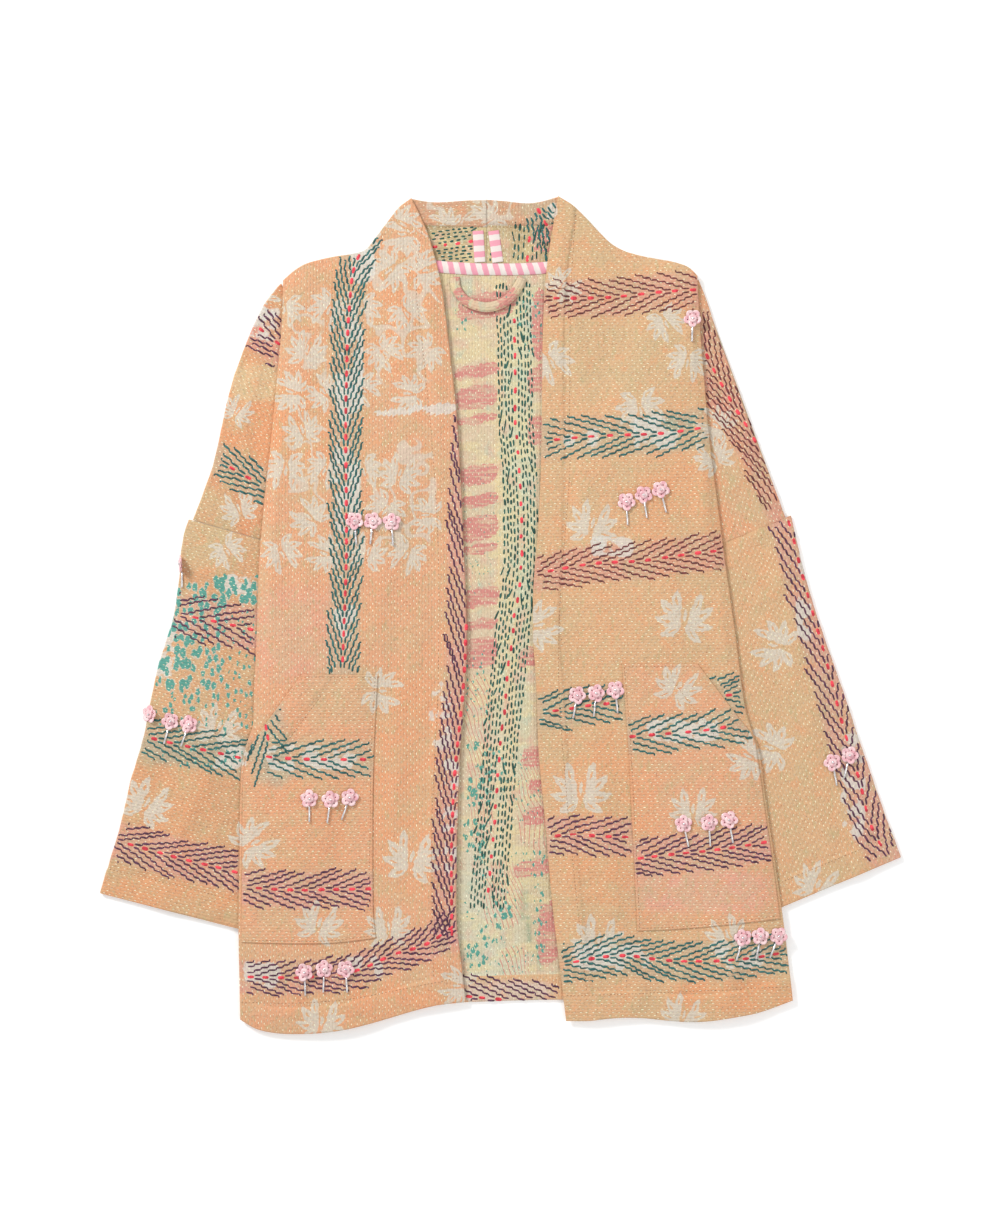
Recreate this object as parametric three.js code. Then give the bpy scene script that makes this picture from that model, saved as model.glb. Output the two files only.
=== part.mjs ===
// A hand-quilted, open-fronted sequin jacket, laid face up on a flat surface with its sleeves at its sides.
// Millimetres. +X is the jacket's left as worn, right in the view from above. +Y points to the collar, +Z is up.
// The origin is on the surface, under the middle of the jacket's outline.
//
// The jacket is a stack of flat cloth. The two sleeves are flattened tubes on the surface. The back lies over
// their hidden inner edges, the fronts lie on the back, and the patch pockets lie on the fronts.
// Each panel is a wall between an upper and a lower skin, on a patch that four edge curves bound.
import * as THREE from "three";

// Cloth and sewing
const WALL = 1.4; // quilted layers of cotton
const SEAM_GAP = 0.3; // between pieces that are sewn together
const TURN = 26; // width of the turned-in hem, front edge and collar edge
const TURN_BLUR = 1.5; // half width of the step where the turned cloth ends
const MOUTH_SHARE = 0.6; // how much thicker a pocket is where its mouth is turned in
const POCKET_GAP = 0.35; // under a patch pocket
const POCKET_REACH = 5; // a pocket's point clears the front this far around it, as their cells differ

// Heights in the stack
const SLEEVE_HEIGHT = 4; // a flattened sleeve: two walls and a little air
const BACK_LIFT = SLEEVE_HEIGHT + SEAM_GAP; // the back's underside where it covers a sleeve
const FRONT_RISE = 2 * WALL + 0.5; // from the back's underside to the front's, clear of the back's turned hem
const SEAM_RISE = WALL + SEAM_GAP; // the same, where side and shoulder seams draw the two together
const COVER_MARGIN = 18; // the lift stays full this far past a sleeve
const COVER_RAMP = 40; // and then comes down over this distance

// Trim
const TAPE_WIDTH = 11;
const TAPE_WALL = 0.8;
const TAPE_EDGE = 0.55; // a strip's thickness along its edges, as a share of that in its middle
const BINDING_WIDTH = 12;
const BINDING_WALL = 1.2;
const BINDING_SHARES = [0.14, 0.26, 0.38, 0.5, 0.62, 0.74, 0.86]; // where along the neck seam it runs
const LOOP_WIDTH = 10;
const LOOP_WALL = 2.2; // a folded strip
const LOOP_ARCH = 2.4; // how far the free bow of the hanger loop stands off the back

// Resolution
const CELL = 22; // the length of a panel's cells
const FOLD_STEPS = 4; // faces round a sleeve's folded edge
const SLEEVE_CELLS = 9; // across a sleeve, on each side

const CLOTH_PEACH = 0xe6b084;
const CLOTH_CREAM = 0xdccfa6;
const TAPE_PINK = 0xf0b9c4;
const CLOTH_ROUGHNESS = 0.9;

const clamp = THREE.MathUtils.clamp;
const lerp = THREE.MathUtils.lerp;
const smoothstep = THREE.MathUtils.smoothstep;

// Outline of the worn right front (left in the view from above), hem to collar
const RIGHT_FRONT = {
  hem: [
    { x: -260, y: -404 },
    { x: -238, y: -415.5 },
    { x: -200, y: -418.5 },
    { x: -164, y: -415.5 },
    { x: -128, y: -407.5 },
    { x: -80, y: -393.5 },
    { x: -56, y: -388.5 },
    { x: -34.5, y: -386.5 },
  ],
  side: [
    { x: -260, y: -404 },
    { x: -261.5, y: -311 },
    { x: -260.5, y: -235 },
    { x: -259.5, y: -175 },
    { x: -256.5, y: -138 },
    { x: -248, y: -115 },
    { x: -246, y: -75 },
    { x: -243.5, y: -22 },
    { x: -241, y: 50 },
    { x: -236.5, y: 106 },
    { x: -228, y: 185 },
    { x: -222, y: 248 },
    { x: -218, y: 294 },
    { x: -217, y: 334 },
  ],
  top: [
    { x: -217, y: 334 },
    { x: -203, y: 346 },
    { x: -189, y: 352.5 },
    { x: -167, y: 358 },
    { x: -148, y: 361 },
    { x: -136, y: 364.5 },
    { x: -128, y: 373 },
    { x: -111.5, y: 394.5 },
    { x: -102, y: 407 },
    { x: -95, y: 414 },
    { x: -89, y: 416.5 },
  ],
  opening: [
    { x: -34.5, y: -386.5 },
    { x: -40.5, y: -335.5 },
    { x: -43.5, y: -310 },
    { x: -44, y: -265 },
    { x: -42.5, y: -195 },
    { x: -39.5, y: -125 },
    { x: -35.5, y: -75 },
    { x: -33.5, y: -25 },
    { x: -35.5, y: 41 },
    { x: -39.5, y: 130 },
    { x: -44, y: 204 },
    { x: -50, y: 258 },
    { x: -57, y: 317 },
    { x: -64, y: 352 },
    { x: -74.5, y: 386 },
    { x: -89, y: 416.5 },
  ],
};

// Outline of the worn left front, hem to collar
const LEFT_FRONT = {
  hem: [
    { x: 65.5, y: -405.5 },
    { x: 87, y: -405.5 },
    { x: 112, y: -402.5 },
    { x: 140, y: -402.5 },
    { x: 172, y: -405.5 },
    { x: 199, y: -406.5 },
    { x: 232, y: -402 },
    { x: 260, y: -396.5 },
    { x: 292, y: -385 },
  ],
  side: [
    { x: 292, y: -385 },
    { x: 285.5, y: -329 },
    { x: 275.5, y: -257 },
    { x: 268.5, y: -210 },
    { x: 263.5, y: -175 },
    { x: 258, y: -135 },
    { x: 247.5, y: -106 },
    { x: 241.5, y: -75 },
    { x: 234.5, y: -20 },
    { x: 224.5, y: 51 },
    { x: 215.5, y: 120 },
    { x: 208.5, y: 176 },
    { x: 203.5, y: 234 },
    { x: 199, y: 289 },
    { x: 196.5, y: 338.5 },
  ],
  top: [
    { x: 196.5, y: 338.5 },
    { x: 188.5, y: 346.5 },
    { x: 172.5, y: 352.5 },
    { x: 142.5, y: 358.5 },
    { x: 121.5, y: 364.5 },
    { x: 111.5, y: 370.5 },
    { x: 98.5, y: 382.5 },
    { x: 87.5, y: 394.5 },
    { x: 75.5, y: 406.5 },
    { x: 66, y: 415 },
    { x: 57.5, y: 418.5 },
  ],
  opening: [
    { x: 65.5, y: -405.5 },
    { x: 58.5, y: -347 },
    { x: 54, y: -310 },
    { x: 50, y: -271 },
    { x: 44.5, y: -206 },
    { x: 38, y: -136 },
    { x: 35.5, y: -65 },
    { x: 32.5, y: -25 },
    { x: 33, y: 30 },
    { x: 37.5, y: 86 },
    { x: 40.5, y: 152 },
    { x: 41.5, y: 214 },
    { x: 42, y: 273 },
    { x: 44, y: 324 },
    { x: 49, y: 368 },
    { x: 53.5, y: 393 },
    { x: 57.5, y: 418.5 },
  ],
};

// The back's hem, and its shoulder and neck line
const BACK_HEM = [
  { x: -259.5, y: -396 },
  { x: -180, y: -392 },
  { x: -110, y: -390 },
  { x: -34.5, y: -387 },
  { x: 61, y: -384.5 },
  { x: 130, y: -388 },
  { x: 210, y: -388 },
  { x: 290.5, y: -378 },
];
const NECK_RIGHT = { x: -124, y: 366 };
const NECK_LEFT = { x: 112, y: 367 };
const NECK_SEAM = [
  NECK_RIGHT,
  { x: -98, y: 354 },
  { x: -60, y: 348 },
  { x: -13.5, y: 345.5 },
  { x: 44, y: 347 },
  { x: 82, y: 355 },
  NECK_LEFT,
];
const BACK_SHOULDER_RIGHT = [
  { x: -217, y: 334 },
  { x: -203, y: 346 },
  { x: -189, y: 352.5 },
  { x: -167, y: 358 },
  { x: -148, y: 361 },
  { x: -136, y: 363.5 },
];
const BACK_SHOULDER_LEFT = [
  { x: 121.5, y: 364 },
  { x: 142.5, y: 358.5 },
  { x: 172.5, y: 352.5 },
  { x: 188.5, y: 346.5 },
  { x: 196.5, y: 338.5 },
];

// The collar's back stretch: its upper folded edge and its two ends, folded over at the sides of the neck
const CENTRE_BACK = -13.5; // x of the seam between the collar's halves
const COLLAR_TOP = [
  { x: -89, y: 416 },
  { x: -76, y: 413.5 },
  { x: -61, y: 412.5 },
  { x: -30, y: 414.5 },
  { x: CENTRE_BACK, y: 415 },
  { x: 6, y: 413.5 },
  { x: 25, y: 411.5 },
  { x: 40, y: 413 },
  { x: 57.5, y: 418 },
];
const COLLAR_END_RIGHT = [
  { x: -123.5, y: 367 },
  { x: -111, y: 391 },
  { x: -101, y: 405 },
  { x: -89, y: 416 },
];
const COLLAR_END_LEFT = [
  { x: 111.5, y: 368 },
  { x: 96, y: 383 },
  { x: 75, y: 405 },
  { x: 57.5, y: 418 },
];

// Patch pockets. The mouth is the slanted edge between the side and the top.
const RIGHT_POCKET = {
  bottom: [
    { x: -258.5, y: -326.5 },
    { x: -220, y: -327.5 },
    { x: -168, y: -327.5 },
    { x: -124.5, y: -322.5 },
  ],
  outer: [
    { x: -258.5, y: -326.5 },
    { x: -258, y: -265 },
    { x: -257, y: -176 },
    { x: -253, y: -140 },
    { x: -248.5, y: -128 },
  ],
  mouth: [
    { x: -248.5, y: -128 },
    { x: -198, y: -59 },
  ],
  top: [
    { x: -198, y: -59 },
    { x: -122.5, y: -60 },
  ],
  inner: [
    { x: -124.5, y: -322.5 },
    { x: -127, y: -293 },
    { x: -127.5, y: -204 },
    { x: -126, y: -128 },
    { x: -122.5, y: -60 },
  ],
};
const LEFT_POCKET = {
  bottom: [
    { x: 279, y: -303 },
    { x: 229, y: -308.5 },
    { x: 181, y: -313.5 },
    { x: 136.5, y: -315.5 },
  ],
  outer: [
    { x: 279, y: -303 },
    { x: 273, y: -257 },
    { x: 266, y: -210 },
    { x: 257.5, y: -150 },
    { x: 252.5, y: -122 },
  ],
  mouth: [
    { x: 252.5, y: -122 },
    { x: 196.5, y: -48.5 },
  ],
  top: [
    { x: 196.5, y: -48.5 },
    { x: 121, y: -48.5 },
  ],
  inner: [
    { x: 136.5, y: -315.5 },
    { x: 134, y: -257 },
    { x: 131.5, y: -210 },
    { x: 128, y: -139 },
    { x: 121, y: -48.5 },
  ],
};

// Sleeve sections from the armhole down: the outer folded edge, and the inner one, hidden under the back
const RIGHT_SLEEVE_UPPER = [
  { outerX: -219.5, outerY: 332, innerX: -132, innerY: 145 },
  { outerX: -232.5, outerY: 316, innerX: -131, innerY: 129 },
  { outerX: -244.5, outerY: 294.5, innerX: -130, innerY: 114 },
  { outerX: -260.5, outerY: 254.5, innerX: -129, innerY: 97 },
  { outerX: -272.5, outerY: 214.5, innerX: -129, innerY: 80 },
  { outerX: -285.5, outerY: 154.5, innerX: -131, innerY: 64 },
  { outerX: -299.5, outerY: 114.5, innerX: -134, innerY: 53 },
  { outerX: -308, outerY: 95, innerX: -137, innerY: 46 },
];
const RIGHT_SLEEVE_LOWER = [
  { outerX: -312, outerY: 95.7, innerX: -137.1, innerY: 45.6 },
  { outerX: -317.5, outerY: 74.5, innerX: -142, innerY: 26 },
  { outerX: -321, outerY: 34.5, innerX: -152, innerY: -12 },
  { outerX: -327.5, outerY: -5.5, innerX: -162, innerY: -50 },
  { outerX: -340.5, outerY: -45.5, innerX: -173, innerY: -88 },
  { outerX: -349.5, outerY: -85.5, innerX: -184, innerY: -127 },
  { outerX: -357.5, outerY: -125.5, innerX: -195, innerY: -166 },
  { outerX: -369.5, outerY: -165.5, innerX: -206, innerY: -205 },
  { outerX: -378.5, outerY: -205.5, innerX: -218, innerY: -245 },
  { outerX: -390.5, outerY: -245.5, innerX: -230, innerY: -286 },
  { outerX: -400, outerY: -278, innerX: -238.5, innerY: -319.5 },
];
const LEFT_SLEEVE_UPPER = [
  { outerX: 199, outerY: 336, innerX: 112, innerY: 140 },
  { outerX: 207.5, outerY: 314.5, innerX: 110, innerY: 118 },
  { outerX: 220.5, outerY: 274.5, innerX: 108, innerY: 97 },
  { outerX: 235.5, outerY: 234.5, innerX: 107, innerY: 78 },
  { outerX: 249.5, outerY: 194.5, innerX: 107, innerY: 62 },
  { outerX: 265.5, outerY: 154.5, innerX: 108, innerY: 48 },
  { outerX: 280.5, outerY: 114.5, innerX: 111, innerY: 37 },
  { outerX: 286.5, outerY: 98.5, innerX: 114, innerY: 30 },
];
const LEFT_SLEEVE_LOWER = [
  { outerX: 290.8, outerY: 99.8, innerX: 114.1, innerY: 29.6 },
  { outerX: 295.5, outerY: 74.5, innerX: 120, innerY: 10 },
  { outerX: 305.5, outerY: 34.5, innerX: 133, innerY: -26 },
  { outerX: 317.5, outerY: -5.5, innerX: 147, innerY: -62 },
  { outerX: 331.5, outerY: -45.5, innerX: 161, innerY: -100 },
  { outerX: 345.5, outerY: -85.5, innerX: 177, innerY: -142 },
  { outerX: 358.5, outerY: -125.5, innerX: 195, innerY: -184 },
  { outerX: 372.5, outerY: -165.5, innerX: 213, innerY: -226 },
  { outerX: 386.5, outerY: -205.5, innerX: 231, innerY: -268 },
  { outerX: 400, outerY: -242, innerX: 247.5, innerY: -306 },
];

// The largest soft folds of the fronts and sleeves: a ridge from one end to the other
const FRONT_FOLDS = [
  { x0: -236, y0: 150, x1: -205, y1: -120, width: 46, height: 1.6 },
  { x0: -96, y0: 330, x1: -84, y1: 120, width: 44, height: 1.8 },
  { x0: -110, y0: -30, x1: -96, y1: -300, width: 60, height: 1.6 },
  { x0: -190, y0: -345, x1: -150, y1: -420, width: 60, height: 3 },
  { x0: -70, y0: -250, x1: -60, y1: -400, width: 44, height: 2.2 },
  { x0: 82, y0: 340, x1: 92, y1: 150, width: 44, height: 1.8 },
  { x0: 150, y0: 210, x1: 165, y1: -10, width: 60, height: 1.6 },
  { x0: 215, y0: -120, x1: 245, y1: -300, width: 50, height: 1.8 },
  { x0: 92, y0: -180, x1: 104, y1: -400, width: 46, height: 2.4 },
  { x0: 214, y0: -330, x1: 226, y1: -405, width: 56, height: 3 },
];
const SLEEVE_FOLDS = [
  { x0: -262, y0: 230, x1: -286, y1: 110, width: 30, height: 1.2 },
  { x0: -290, y0: 60, x1: -318, y1: -120, width: 44, height: 1.4 },
  { x0: -310, y0: -150, x1: -330, y1: -285, width: 46, height: 1.2 },
  { x0: 232, y0: 200, x1: 266, y1: 110, width: 30, height: 1.2 },
  { x0: 272, y0: 60, x1: 312, y1: -90, width: 44, height: 1.4 },
  { x0: 316, y0: -120, x1: 352, y1: -240, width: 46, height: 1.2 },
];

// The hanger loop's middle line, from one end under the neck binding round to the other
const HANGER_LOOP = [
  { x: -45.5, y: 337.5 },
  { x: -44.5, y: 327 },
  { x: -36, y: 315 },
  { x: -22, y: 308.5 },
  { x: -8, y: 308 },
  { x: 7, y: 315 },
  { x: 17, y: 327 },
  { x: 22, y: 337 },
];

// The stripe-taped seam allowances at the centre back of the collar: x at the foot and at the head
const TAPES = {
  foot: 352.5,
  head: 384,
  right: { footX: -20.5, headX: -22.5 },
  left: { footX: -2.6, headX: -7 },
};

const vector = ({ x, y }) => new THREE.Vector2(x, y);
const spline = (rows) => new THREE.SplineCurve(rows.map(vector));

// An edge made of several smooth stretches that meet at corners
function cornered(...stretches) {
  const path = new THREE.CurvePath();
  for (const rows of stretches) {
    path.add(spline(rows));
  }
  return path;
}

// The point of a patch at s along its lower and upper edges and t along its start and end edges (Coons)
function patchPoint(edges, s, t) {
  const low = edges.low.getPointAt(s);
  const high = edges.high.getPointAt(s);
  const start = edges.start.getPointAt(t);
  const end = edges.end.getPointAt(t);
  const c00 = edges.low.getPointAt(0);
  const c10 = edges.low.getPointAt(1);
  const c01 = edges.high.getPointAt(0);
  const c11 = edges.high.getPointAt(1);
  const blend = (a, b, c, d, p00, p10, p01, p11) =>
    lerp(a, b, t) + lerp(c, d, s) - lerp(lerp(p00, p10, s), lerp(p01, p11, s), t);
  return {
    x: blend(low.x, high.x, start.x, end.x, c00.x, c10.x, c01.x, c11.x),
    y: blend(low.y, high.y, start.y, end.y, c00.y, c10.y, c01.y, c11.y),
  };
}

// Shares of a length where rows of points go: at the named distances from each end, and evenly between them
function spread(length, fromStart, fromEnd, count) {
  const first = fromStart.at(-1) ?? 0;
  const last = length - (fromEnd.at(-1) ?? 0);
  const middle = [];
  for (let i = 1; i < count; i += 1) {
    middle.push(lerp(first, last, i / count));
  }
  const places = [0, ...fromStart, ...middle, ...fromEnd.map((d) => length - d).reverse(), length];
  return places.map((place) => place / length);
}

// A closed wall between a lower and an upper grid of points, both [row][column]
function wallGeometry(lower, upper) {
  const rows = lower.length;
  const columns = lower[0].length;
  const points = [...lower.flat(), ...upper.flat()];
  const below = (r, c) => r * columns + c;
  const above = (r, c) => rows * columns + below(r, c);
  const index = [];
  const quad = (a, b, c, d) => index.push(a, b, c, a, c, d);
  for (let r = 0; r + 1 < rows; r += 1) {
    for (let c = 0; c + 1 < columns; c += 1) {
      quad(above(r, c), above(r, c + 1), above(r + 1, c + 1), above(r + 1, c));
      quad(below(r, c), below(r + 1, c), below(r + 1, c + 1), below(r, c + 1));
    }
    quad(below(r, 0), above(r, 0), above(r + 1, 0), below(r + 1, 0));
    quad(below(r, columns - 1), below(r + 1, columns - 1), above(r + 1, columns - 1), above(r, columns - 1));
  }
  for (let c = 0; c + 1 < columns; c += 1) {
    quad(below(0, c), below(0, c + 1), above(0, c + 1), above(0, c));
    quad(below(rows - 1, c), above(rows - 1, c), above(rows - 1, c + 1), below(rows - 1, c + 1));
  }
  return facesOut(points, index);
}

// A geometry whose faces point out, whichever way round its grid ran
function facesOut(points, index) {
  const place = (i) => new THREE.Vector3(...points[i]);
  let volume = 0;
  for (let i = 0; i < index.length; i += 3) {
    volume += place(index[i]).dot(place(index[i + 1]).cross(place(index[i + 2])));
  }
  const turned = [];
  for (let i = 0; i < index.length; i += 3) {
    const [a, b, c] = index.slice(i, i + 3);
    turned.push(a, ...(volume > 0 ? [b, c] : [c, b]));
  }
  const geometry = new THREE.BufferGeometry();
  geometry.setAttribute("position", new THREE.Float32BufferAttribute(points.flat(), 3));
  geometry.setIndex(turned);
  geometry.computeVertexNormals();
  return geometry;
}

// How high the soft folds of a list stand at a point
function foldHeight(folds, x, y) {
  let height = 0;
  for (const fold of folds) {
    const alongX = fold.x1 - fold.x0;
    const alongY = fold.y1 - fold.y0;
    const length2 = alongX ** 2 + alongY ** 2;
    const share = ((x - fold.x0) * alongX + (y - fold.y0) * alongY) / length2;
    const held = clamp(share, 0, 1);
    const apart = Math.hypot(x - fold.x0 - held * alongX, y - fold.y0 - held * alongY);
    height += fold.height * (1 - smoothstep(apart, 0, fold.width));
  }
  return height;
}

// Distance outside a convex outline, whose corners run anticlockwise. Negative inside.
function outside(corners, x, y) {
  let most = -Infinity;
  corners.forEach((a, i) => {
    const b = corners[(i + 1) % corners.length];
    const length = Math.hypot(b.x - a.x, b.y - a.y);
    most = Math.max(most, ((x - a.x) * (b.y - a.y) - (y - a.y) * (b.x - a.x)) / length);
  });
  return most;
}

// The flat outline of a whole sleeve, from its first, seam and last sections
function sleeveOutline(upper, lower) {
  const outer = ({ outerX, outerY }) => ({ x: outerX, y: outerY });
  const inner = ({ innerX, innerY }) => ({ x: innerX, y: innerY });
  const loop = [
    outer(upper[0]),
    outer(lower.at(-1)),
    inner(lower.at(-1)),
    inner(upper.at(-1)),
    inner(upper[0]),
  ];
  return loop[0].x < 0 ? loop : loop.reverse();
}

const SLEEVE_OUTLINES = [
  sleeveOutline(RIGHT_SLEEVE_UPPER, RIGHT_SLEEVE_LOWER),
  sleeveOutline(LEFT_SLEEVE_UPPER, LEFT_SLEEVE_LOWER),
];

// Height of the back's underside: on the surface in the middle, lifted where a sleeve lies under it
function backLift(x, y) {
  const apart = Math.min(...SLEEVE_OUTLINES.map((outline) => outside(outline, x, y)));
  return BACK_LIFT * (1 - smoothstep(apart, COVER_MARGIN, COVER_MARGIN + COVER_RAMP));
}

// 1 on the turned-in part of an edge, 0 past it
const turned = (distance) => 1 - smoothstep(distance, TURN - TURN_BLUR, TURN + TURN_BLUR);

// A panel as a grid of points with its distance from each edge, for its thickness and height
function panelGrid(edges, columns, rows) {
  const grid = [];
  for (const t of rows) {
    const line = [];
    for (const s of columns) {
      const { x, y } = patchPoint(edges, s, t);
      line.push({
        x,
        y,
        fromStart: s * edges.width,
        fromEnd: (1 - s) * edges.width,
        fromLow: t * edges.height,
        fromHigh: (1 - t) * edges.height,
      });
    }
    grid.push(line);
  }
  return grid;
}

function panelSkins(grid, underside, thickness) {
  return {
    lower: grid.map((line) => line.map((p) => [p.x, p.y, underside(p)])),
    upper: grid.map((line) => line.map((p) => [p.x, p.y, underside(p) + thickness(p)])),
  };
}

function panelGeometry(grid, underside, thickness) {
  const { lower, upper } = panelSkins(grid, underside, thickness);
  return wallGeometry(lower, upper);
}

// The triangles of a skin, seen from above
function skinTriangles(skin) {
  const triangles = [];
  for (let r = 0; r + 1 < skin.length; r += 1) {
    for (let c = 0; c + 1 < skin[r].length; c += 1) {
      const [a, b, d, e] = [skin[r][c], skin[r][c + 1], skin[r + 1][c + 1], skin[r + 1][c]];
      triangles.push([a, b, d], [a, d, e]);
    }
  }
  return triangles;
}

// Height of a skin at a point, or nothing when the point is off it
function heightAt(triangles, x, y) {
  for (const [a, b, c] of triangles) {
    const area = (b[0] - a[0]) * (c[1] - a[1]) - (c[0] - a[0]) * (b[1] - a[1]);
    const v = ((x - a[0]) * (c[1] - a[1]) - (c[0] - a[0]) * (y - a[1])) / area;
    const w = ((b[0] - a[0]) * (y - a[1]) - (x - a[0]) * (b[1] - a[1])) / area;
    if (v >= -1e-6 && w >= -1e-6 && v + w <= 1 + 1e-6) {
      return a[2] + v * (b[2] - a[2]) + w * (c[2] - a[2]);
    }
  }
  return undefined;
}

// The most a skin stands up within reach of a point
function highestNear(triangles, x, y, reach) {
  let most = -Infinity;
  for (const dx of [-reach, 0, reach]) {
    for (const dy of [-reach, 0, reach]) {
      most = Math.max(most, heightAt(triangles, x + dx, y + dy) ?? -Infinity);
    }
  }
  return most;
}

function patchEdges(low, high, start, end) {
  return {
    low,
    high,
    start,
    end,
    width: (low.getLength() + high.getLength()) / 2,
    height: (start.getLength() + end.getLength()) / 2,
  };
}

const TURN_LINES = [TURN - TURN_BLUR, TURN + TURN_BLUR];
const SEAM_LINES = [5, 13]; // points near a side or shoulder seam, where the front comes down to the back
const COLLAR_FOOT = 368; // y of the foot of the collar where the fronts fold over
const COLLAR_CLEAR = 12; // over this distance past it, the fronts rise clear of the collar's turned strip
const COLLAR_SEAM = 0.5; // from the back's neck edge to the collar's foot
const cells = (length) => Math.max(2, Math.round(length / CELL));

// Height of a front's underside: on the back, and drawn down to it at the side and shoulder seams. Beside the
// neck it isn't drawn down, because the collar's turned-in strip lies between the two.
function frontUnderside(x, y, fromSeam) {
  const besideBody = 1 - smoothstep(y, COLLAR_FOOT, COLLAR_FOOT + COLLAR_CLEAR);
  const drawn = besideBody * (1 - smoothstep(fromSeam, 0, SEAM_LINES[1]));
  const rise = lerp(FRONT_RISE, SEAM_RISE, drawn);
  return backLift(x, y) + rise + (1 - drawn) * foldHeight(FRONT_FOLDS, x, y);
}

// A front with the collar cut in one, folded over at the side of the neck
function frontSkins(outline, reversed) {
  const hem = spline(reversed ? [...outline.hem].reverse() : outline.hem);
  const edges = patchEdges(hem, spline(outline.top), spline(outline.side), spline(outline.opening));
  const columns = spread(edges.width, SEAM_LINES, TURN_LINES, cells(edges.width - TURN));
  const rows = spread(edges.height, TURN_LINES, SEAM_LINES, cells(edges.height - TURN));
  const hemClear = (p) => TURN + SEAM_LINES[1] - p.fromLow; // the seam stays open over the back's turned hem
  const underside = (p) =>
    frontUnderside(p.x, p.y, Math.max(Math.min(p.fromStart, p.fromHigh), hemClear(p)));
  const thickness = (p) => WALL * (1 + Math.max(turned(p.fromEnd), turned(p.fromLow)));
  return panelSkins(panelGrid(edges, columns, rows), underside, thickness);
}

function backGeometry() {
  const shoulders = cornered(
    BACK_SHOULDER_RIGHT.concat([NECK_RIGHT]),
    NECK_SEAM,
    [NECK_LEFT].concat(BACK_SHOULDER_LEFT),
  );
  const inset = (rows, by) => rows.map(({ x, y }) => ({ x: x + by, y }));
  const left = [BACK_HEM[0], ...inset(RIGHT_FRONT.side.slice(1, -1), 0.5), BACK_SHOULDER_RIGHT[0]];
  const right = [BACK_HEM.at(-1), ...inset(LEFT_FRONT.side.slice(1, -1), -0.5), BACK_SHOULDER_LEFT.at(-1)];
  const edges = patchEdges(spline(BACK_HEM), shoulders, spline(left), spline(right));
  const columns = spread(edges.width, [], [], cells(edges.width));
  const rows = spread(edges.height, TURN_LINES, [], cells(edges.height - TURN));
  const underside = (p) => backLift(p.x, p.y);
  const thickness = (p) => WALL * (1 + turned(p.fromLow));
  return panelGeometry(panelGrid(edges, columns, rows), underside, thickness);
}

// The points of a curve's rows that lie on one side of the centre back, ending at the seam there
function halfOf(rows, side) {
  const half = rows.filter(({ x }) => side * (x - CENTRE_BACK) >= -1e-6);
  return half.map((row) => (row.x === CENTRE_BACK ? { x: row.x + (side * SEAM_GAP) / 2, y: row.y } : row));
}

// One half of the collar behind the neck. Its inner side shows, with the turned-in strip along the top.
function collarGeometry(side, endRows) {
  const raised = NECK_SEAM.map(({ x, y }) => ({ x, y: y + COLLAR_SEAM }));
  const foot = halfOf(raised, side);
  const head = halfOf(COLLAR_TOP, side);
  const seam = side < 0 ? [foot.at(-1), head.at(-1)] : [foot[0], head[0]];
  const fold = [side < 0 ? foot[0] : foot.at(-1), ...endRows.slice(1)];
  const [start, end] = side < 0 ? [fold, seam] : [seam, fold];
  const edges = patchEdges(spline(foot), spline(head), spline(start), spline(end));
  const columns = spread(edges.width, [], [], cells(edges.width) + 2);
  const rows = spread(edges.height, [], TURN_LINES, 3);
  const thickness = (p) => WALL * (1 + turned(p.fromHigh));
  return panelGeometry(panelGrid(edges, columns, rows), () => 0, thickness);
}

// A patch pocket, made from the front's surface, moved out. Its turned mouth is double.
function pocketGeometry(outline, front) {
  const outer = cornered(outline.outer, outline.mouth);
  const edges = patchEdges(spline(outline.bottom), spline(outline.top), outer, spline(outline.inner));
  const columns = spread(edges.width, [6], [], cells(edges.width));
  const rows = spread(edges.height, [], [], cells(edges.height));
  const [mouthFoot, mouthHead] = outline.mouth;
  const mouthLength = Math.hypot(mouthHead.x - mouthFoot.x, mouthHead.y - mouthFoot.y);
  const mouthX = (mouthHead.x - mouthFoot.x) / mouthLength;
  const mouthY = (mouthHead.y - mouthFoot.y) / mouthLength;
  const fromMouth = (p) => Math.abs((p.x - mouthFoot.x) * mouthY - (p.y - mouthFoot.y) * mouthX);
  const under = skinTriangles(front.upper);
  const underside = (p) => highestNear(under, p.x, p.y, POCKET_REACH) + POCKET_GAP;
  const thickness = (p) => WALL * (1 + MOUTH_SHARE * turned(fromMouth(p)));
  return panelGeometry(panelGrid(edges, columns, rows), underside, thickness);
}

// The height of a flattened sleeve's upper skin: plain where the body covers it, softly folded where it shows
function sleeveHeight(x, y) {
  return SLEEVE_HEIGHT + foldHeight(SLEEVE_FOLDS, x, y);
}

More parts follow.
